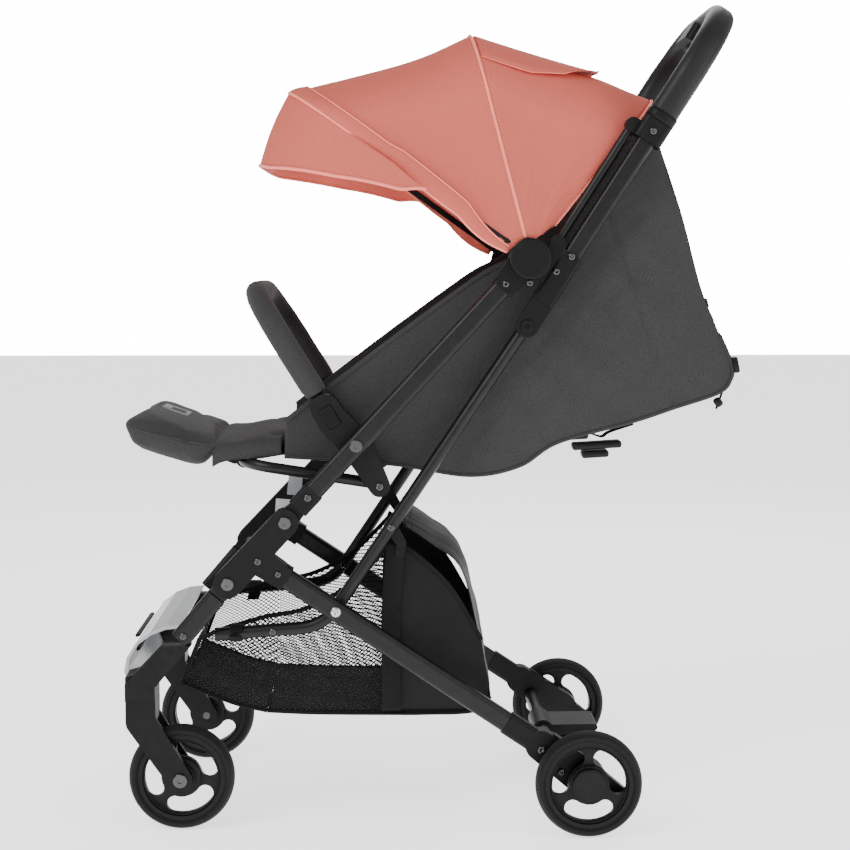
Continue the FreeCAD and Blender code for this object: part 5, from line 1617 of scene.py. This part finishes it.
@dataclass
class Basket:
    """Shopping basket: net sides and front, black rear pocket, floor, bindings and hanging straps."""

    paint: Paintbox
    half: float = 0.1365
    split: float = -0.200
    thick: float = 0.0006

    def side(self, name: str, low: Sequence[SideView], high: Sequence[SideView], finish: Woven | Net,
             side: int, rows: int = 60) -> tuple[bpy.types.Object, Array]:
        """Side panel between two edge curves, sagging outward and slightly creased."""
        a, b = spline(low, rows), spline(high, rows)
        v = np.linspace(0, 1, 26)[None, :, None]
        p = a[:, None] * (1 - v) + b[:, None] * v
        y, z, v = p[..., 0], p[..., 1], v[..., 0]
        wave = np.sin(math.pi * v)
        x = self.half + 0.004 * wave + 0.0022 * ripple(y, z, 0.10, 20) * wave - 0.004 * (1 - v) ** 4
        p = np.stack([side * x, y, z], axis=-1)
        obj = cloth_panel(name, p, self.thick, np.array([side, 0, 0]))
        return self.paint.dress(obj, finish), p

    def cross(self, name: str, curve: Sequence[SideView], finish: Woven | Net, outward: Sequence[float],
              sag: float, seed: int, rows: int = 60) -> tuple[bpy.types.Object, Array]:
        """Panel across the stroller along a side-view curve, sagging outward in the middle."""
        line = spline(curve, rows)
        x = np.linspace(-1, 1, 51)[None]
        v = np.linspace(0, 1, rows)[:, None]
        out = np.asarray(outward, float)
        bulge = sag * (1 - x**2) * np.sin(math.pi * np.clip(v, 0.02, 0.98))
        bulge = bulge + 0.0022 * ripple(x * 0.14, v * 0.3, 0.10, seed) * (1 - x**8)
        p = np.stack([x * self.half + 0 * v, line[:, :1] + out[1] * bulge, line[:, 1:] + out[2] * bulge],
                     axis=-1)
        obj = cloth_panel(name, p, self.thick, out)
        return self.paint.dress(obj, finish), p

    def binding(self, name: str, line: Array, radius: float = 0.0024) -> bpy.types.Object:
        """Folded tape along an edge."""
        return self.paint.dress(sweep(name, resample(line, 80),
                                      box_profile(radius * 2.4, radius * 1.2, radius * 0.5, 3), (1, 0, 0)),
                                      self.paint.finishes.tape)

    def build(self) -> None:
        """Builds the basket; its middle rides on the base body, and its nose stays fixed where it is built.
        """
        f = self.paint.finishes
        flat: list[bpy.types.Object] = []
        nose: list[bpy.types.Object] = []
        floor_low = [(self.split, 0.1405), (-0.100, 0.137), (0.000, 0.1365), (0.062, 0.1395),
                     (0.079, 0.150)]
        for side, word in SIDES:
            net_low = [(self.split, 0.1405), (-0.150, 0.138), (-0.100, 0.137), (-0.044, 0.1365)]
            net_high = [(self.split, 0.262), (-0.150, 0.272), (-0.095, 0.302), (-0.044, 0.352)]
            obj, p = self.side(f"basket_net_{word}", net_low, net_high, f.net, side)
            flat += [obj, self.binding(f"basket_net_top_{word}", p[:, -1]),
                     self.binding(f"basket_net_low_{word}", p[:, 0])]
            pocket_low = [(-0.044, 0.1365), (0.000, 0.1365), (0.062, 0.1395), (0.0825, 0.158)]
            pocket_high = [(-0.044, 0.352), (-0.020, 0.346), (0.030, 0.300), (0.0710, 0.231)]
            obj, p = self.side(f"basket_pocket_{word}", pocket_low, pocket_high, f.black, side)
            flat += [obj, self.binding(f"basket_pocket_top_{word}", p[:, -1]),
                     self.binding(f"basket_pocket_low_{word}", p[:, 0])]
            nose_low = [(-0.306, 0.177), (-0.280, 0.166), (-0.240, 0.150), (self.split, 0.1405)]
            nose_high = [(-0.284, 0.234), (-0.262, 0.243), (-0.235, 0.252), (self.split, 0.262)]
            obj, p = self.side(f"basket_nose_{word}", nose_low, nose_high, f.net, side, 40)
            nose += [obj, self.binding(f"basket_nose_top_{word}", p[:, -1]),
                     self.binding(f"basket_nose_low_{word}", p[:, 0]),
                     self.binding(f"basket_nose_edge_{word}", p[0])]
            strap = webbing(f"basket_strap_{word}",
                            [(side * 0.1425, -0.043, 0.142), (side * 0.1450, -0.043, 0.200),
                             (side * 0.1430, -0.043, 0.270), (side * 0.1450, -0.038, 0.340),
                             (side * 0.1475, -0.035, 0.352)],
                            0.024, 0.0016, (1, 0, 0), 50)
            flat.append(self.paint.dress(strap, f.tape))
            loop = webbing(f"basket_loop_{word}",
                           [(side * 0.139, -0.236, 0.236), (side * 0.148, -0.236, 0.2445),
                            (side * 0.1535, -0.235, 0.2545), (side * 0.163, -0.2345, 0.2565),
                            (side * 0.1725, -0.235, 0.2515), (side * 0.1725, -0.236, 0.2415),
                            (side * 0.163, -0.2365, 0.2360), (side * 0.150, -0.237, 0.2365),
                            (side * 0.139, -0.237, 0.2335)], 0.016, 0.0012, (0, 0, 1), 60)
            nose.append(self.paint.dress(loop, f.tape))
        floor, _ = self.cross("basket_floor", floor_low, f.black, (0, 0, -1), 0.001, 22)
        rear, p = self.cross("basket_rear",
                             [(0.080, 0.148), (0.083, 0.160), (0.070, 0.227), (0.046, 0.320),
                              (0.010, 0.352), (-0.025, 0.376)], f.black, (0, 1, 0.25), 0.006, 24)
        flat += [rear, self.binding("basket_rear_top", p[-1]), floor]
        hem = stitches("basket_hem_thread", p[-3] + [0, 0.0008, 0.0008],
                       np.broadcast_to([0, 0.6, 0.8], p[-3].shape),
                       np.broadcast_to([0, -0.8, 0.6], p[-3].shape), 0.005, 0.0034, 0.0004)
        flat.append(self.paint.dress(hem, f.tape))
        front, p = self.cross("basket_front", [(-0.306, 0.177), (-0.299, 0.200), (-0.284, 0.234)], f.net,
                              (0, -1, 0.3), 0.002, 26, 24)
        under, _ = self.cross("basket_nose_floor",
                              [(-0.306, 0.177), (-0.280, 0.166), (-0.240, 0.150), (self.split, 0.1405)],
                              f.black, (0, -0.2, -1), 0.003, 28, 40)
        nose += [front, under, self.binding("basket_front_top", p[-1]),
                 self.binding("basket_front_low", p[0])]
        for obj in flat:
            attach(obj, "base")
            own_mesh(obj)
        for obj in nose:
            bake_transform(obj)
        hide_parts("basket_tray", "basket_fabric")
        log.info("basket: %d pieces", len(flat) + len(nose))


@dataclass
class Studio:
    """Pale floor, soft lights and the camera."""

    lens: float = 78.06
    sensor: float = 36.0
    eye: tuple[float, float, float] = (2.43, -0.04505, 0.70237)
    turn: tuple[float, float, float] = (85.039, 0.0, 88.881)
    backdrop: float = 16.0
    air: float = 0.65
    floor_glow: float = 1.5
    floor_half: float = 12.0

    def camera(self) -> None:
        """Camera at the hub's height, looking along -X and slightly down."""
        data = bpy.data.cameras.new("camera")
        data.sensor_width, data.lens = self.sensor, self.lens
        camera = bpy.data.objects.new("camera", data)
        camera.location = self.eye
        camera.rotation_euler = [math.radians(a) for a in self.turn]
        bpy.context.scene.collection.objects.link(camera)
        bpy.context.scene.camera = camera

    def light(self, name: str, at: Sequence[float], aim: Sequence[float], size: float,
              power: float) -> None:
        """Square soft light aimed at a point."""
        data = bpy.data.lights.new(name, "AREA")
        data.size, data.energy = size, power
        lamp = bpy.data.objects.new(name, data)
        lamp.location = at
        lamp.rotation_euler = (Vector(aim) - Vector(at)).to_track_quat("-Z", "Y").to_euler()
        bpy.context.scene.collection.objects.link(lamp)

    def build(self) -> None:
        """Builds the studio."""
        self.camera()
        side = self.floor_half
        floor = add_mesh("studio_floor",
                         np.array([(-side, -side, 0), (side, -side, 0), (side, side, 0),
                                   (-side, side, 0)]), [[0, 1, 2, 3]], smooth=False)
        material = bpy.data.materials.new("floor_pale")
        material.use_nodes = True
        shader = material.node_tree.nodes["Principled BSDF"]
        shader.inputs["Base Color"].default_value = (0.95, 0.95, 0.95, 1.0)
        shader.inputs["Roughness"].default_value = 0.9
        shader.inputs["Emission Color"].default_value = (1.0, 1.0, 1.0, 1.0)
        shader.inputs["Emission Strength"].default_value = self.floor_glow
        floor.data.materials.append(material)
        world = bpy.data.worlds.new("studio_air")
        world.use_nodes = True
        n = Nodes(world.node_tree)
        air = world.node_tree.nodes["Background"]
        air.inputs["Color"].default_value = (1.0, 1.0, 1.0, 1.0)
        seen = n.add("ShaderNodeLightPath").outputs["Is Camera Ray"]
        n.link(n.math("ADD", n.math("MULTIPLY", seen, self.backdrop - self.air), self.air),
               air.inputs["Strength"])
        bpy.context.scene.world = world
        self.light("key", (2.2, -2.0, 2.6), (0, 0, 0.5), 2.0, 85.0)
        self.light("fill", (2.0, 2.4, 1.6), (0, 0, 0.5), 2.4, 40.0)
        self.light("rim", (-2.2, 0.5, 2.4), (0, 0, 0.6), 1.6, 35.0)


def main() -> None:
    """Builds the stroller's looks in order."""
    logging.basicConfig(level=logging.INFO, format="%(message)s")
    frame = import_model()
    Studio().build()
    paint = Paintbox()
    padding = Padding(paint)
    Hardware(paint, frame["nodes"]).build()
    Grip(paint).build()
    Canopy(paint).build()
    Seat(paint, padding).build()
    Footrest(paint, padding).build()
    Bumper(paint).build()
    Basket(paint).build()


if __name__ == "__main__":
    main()
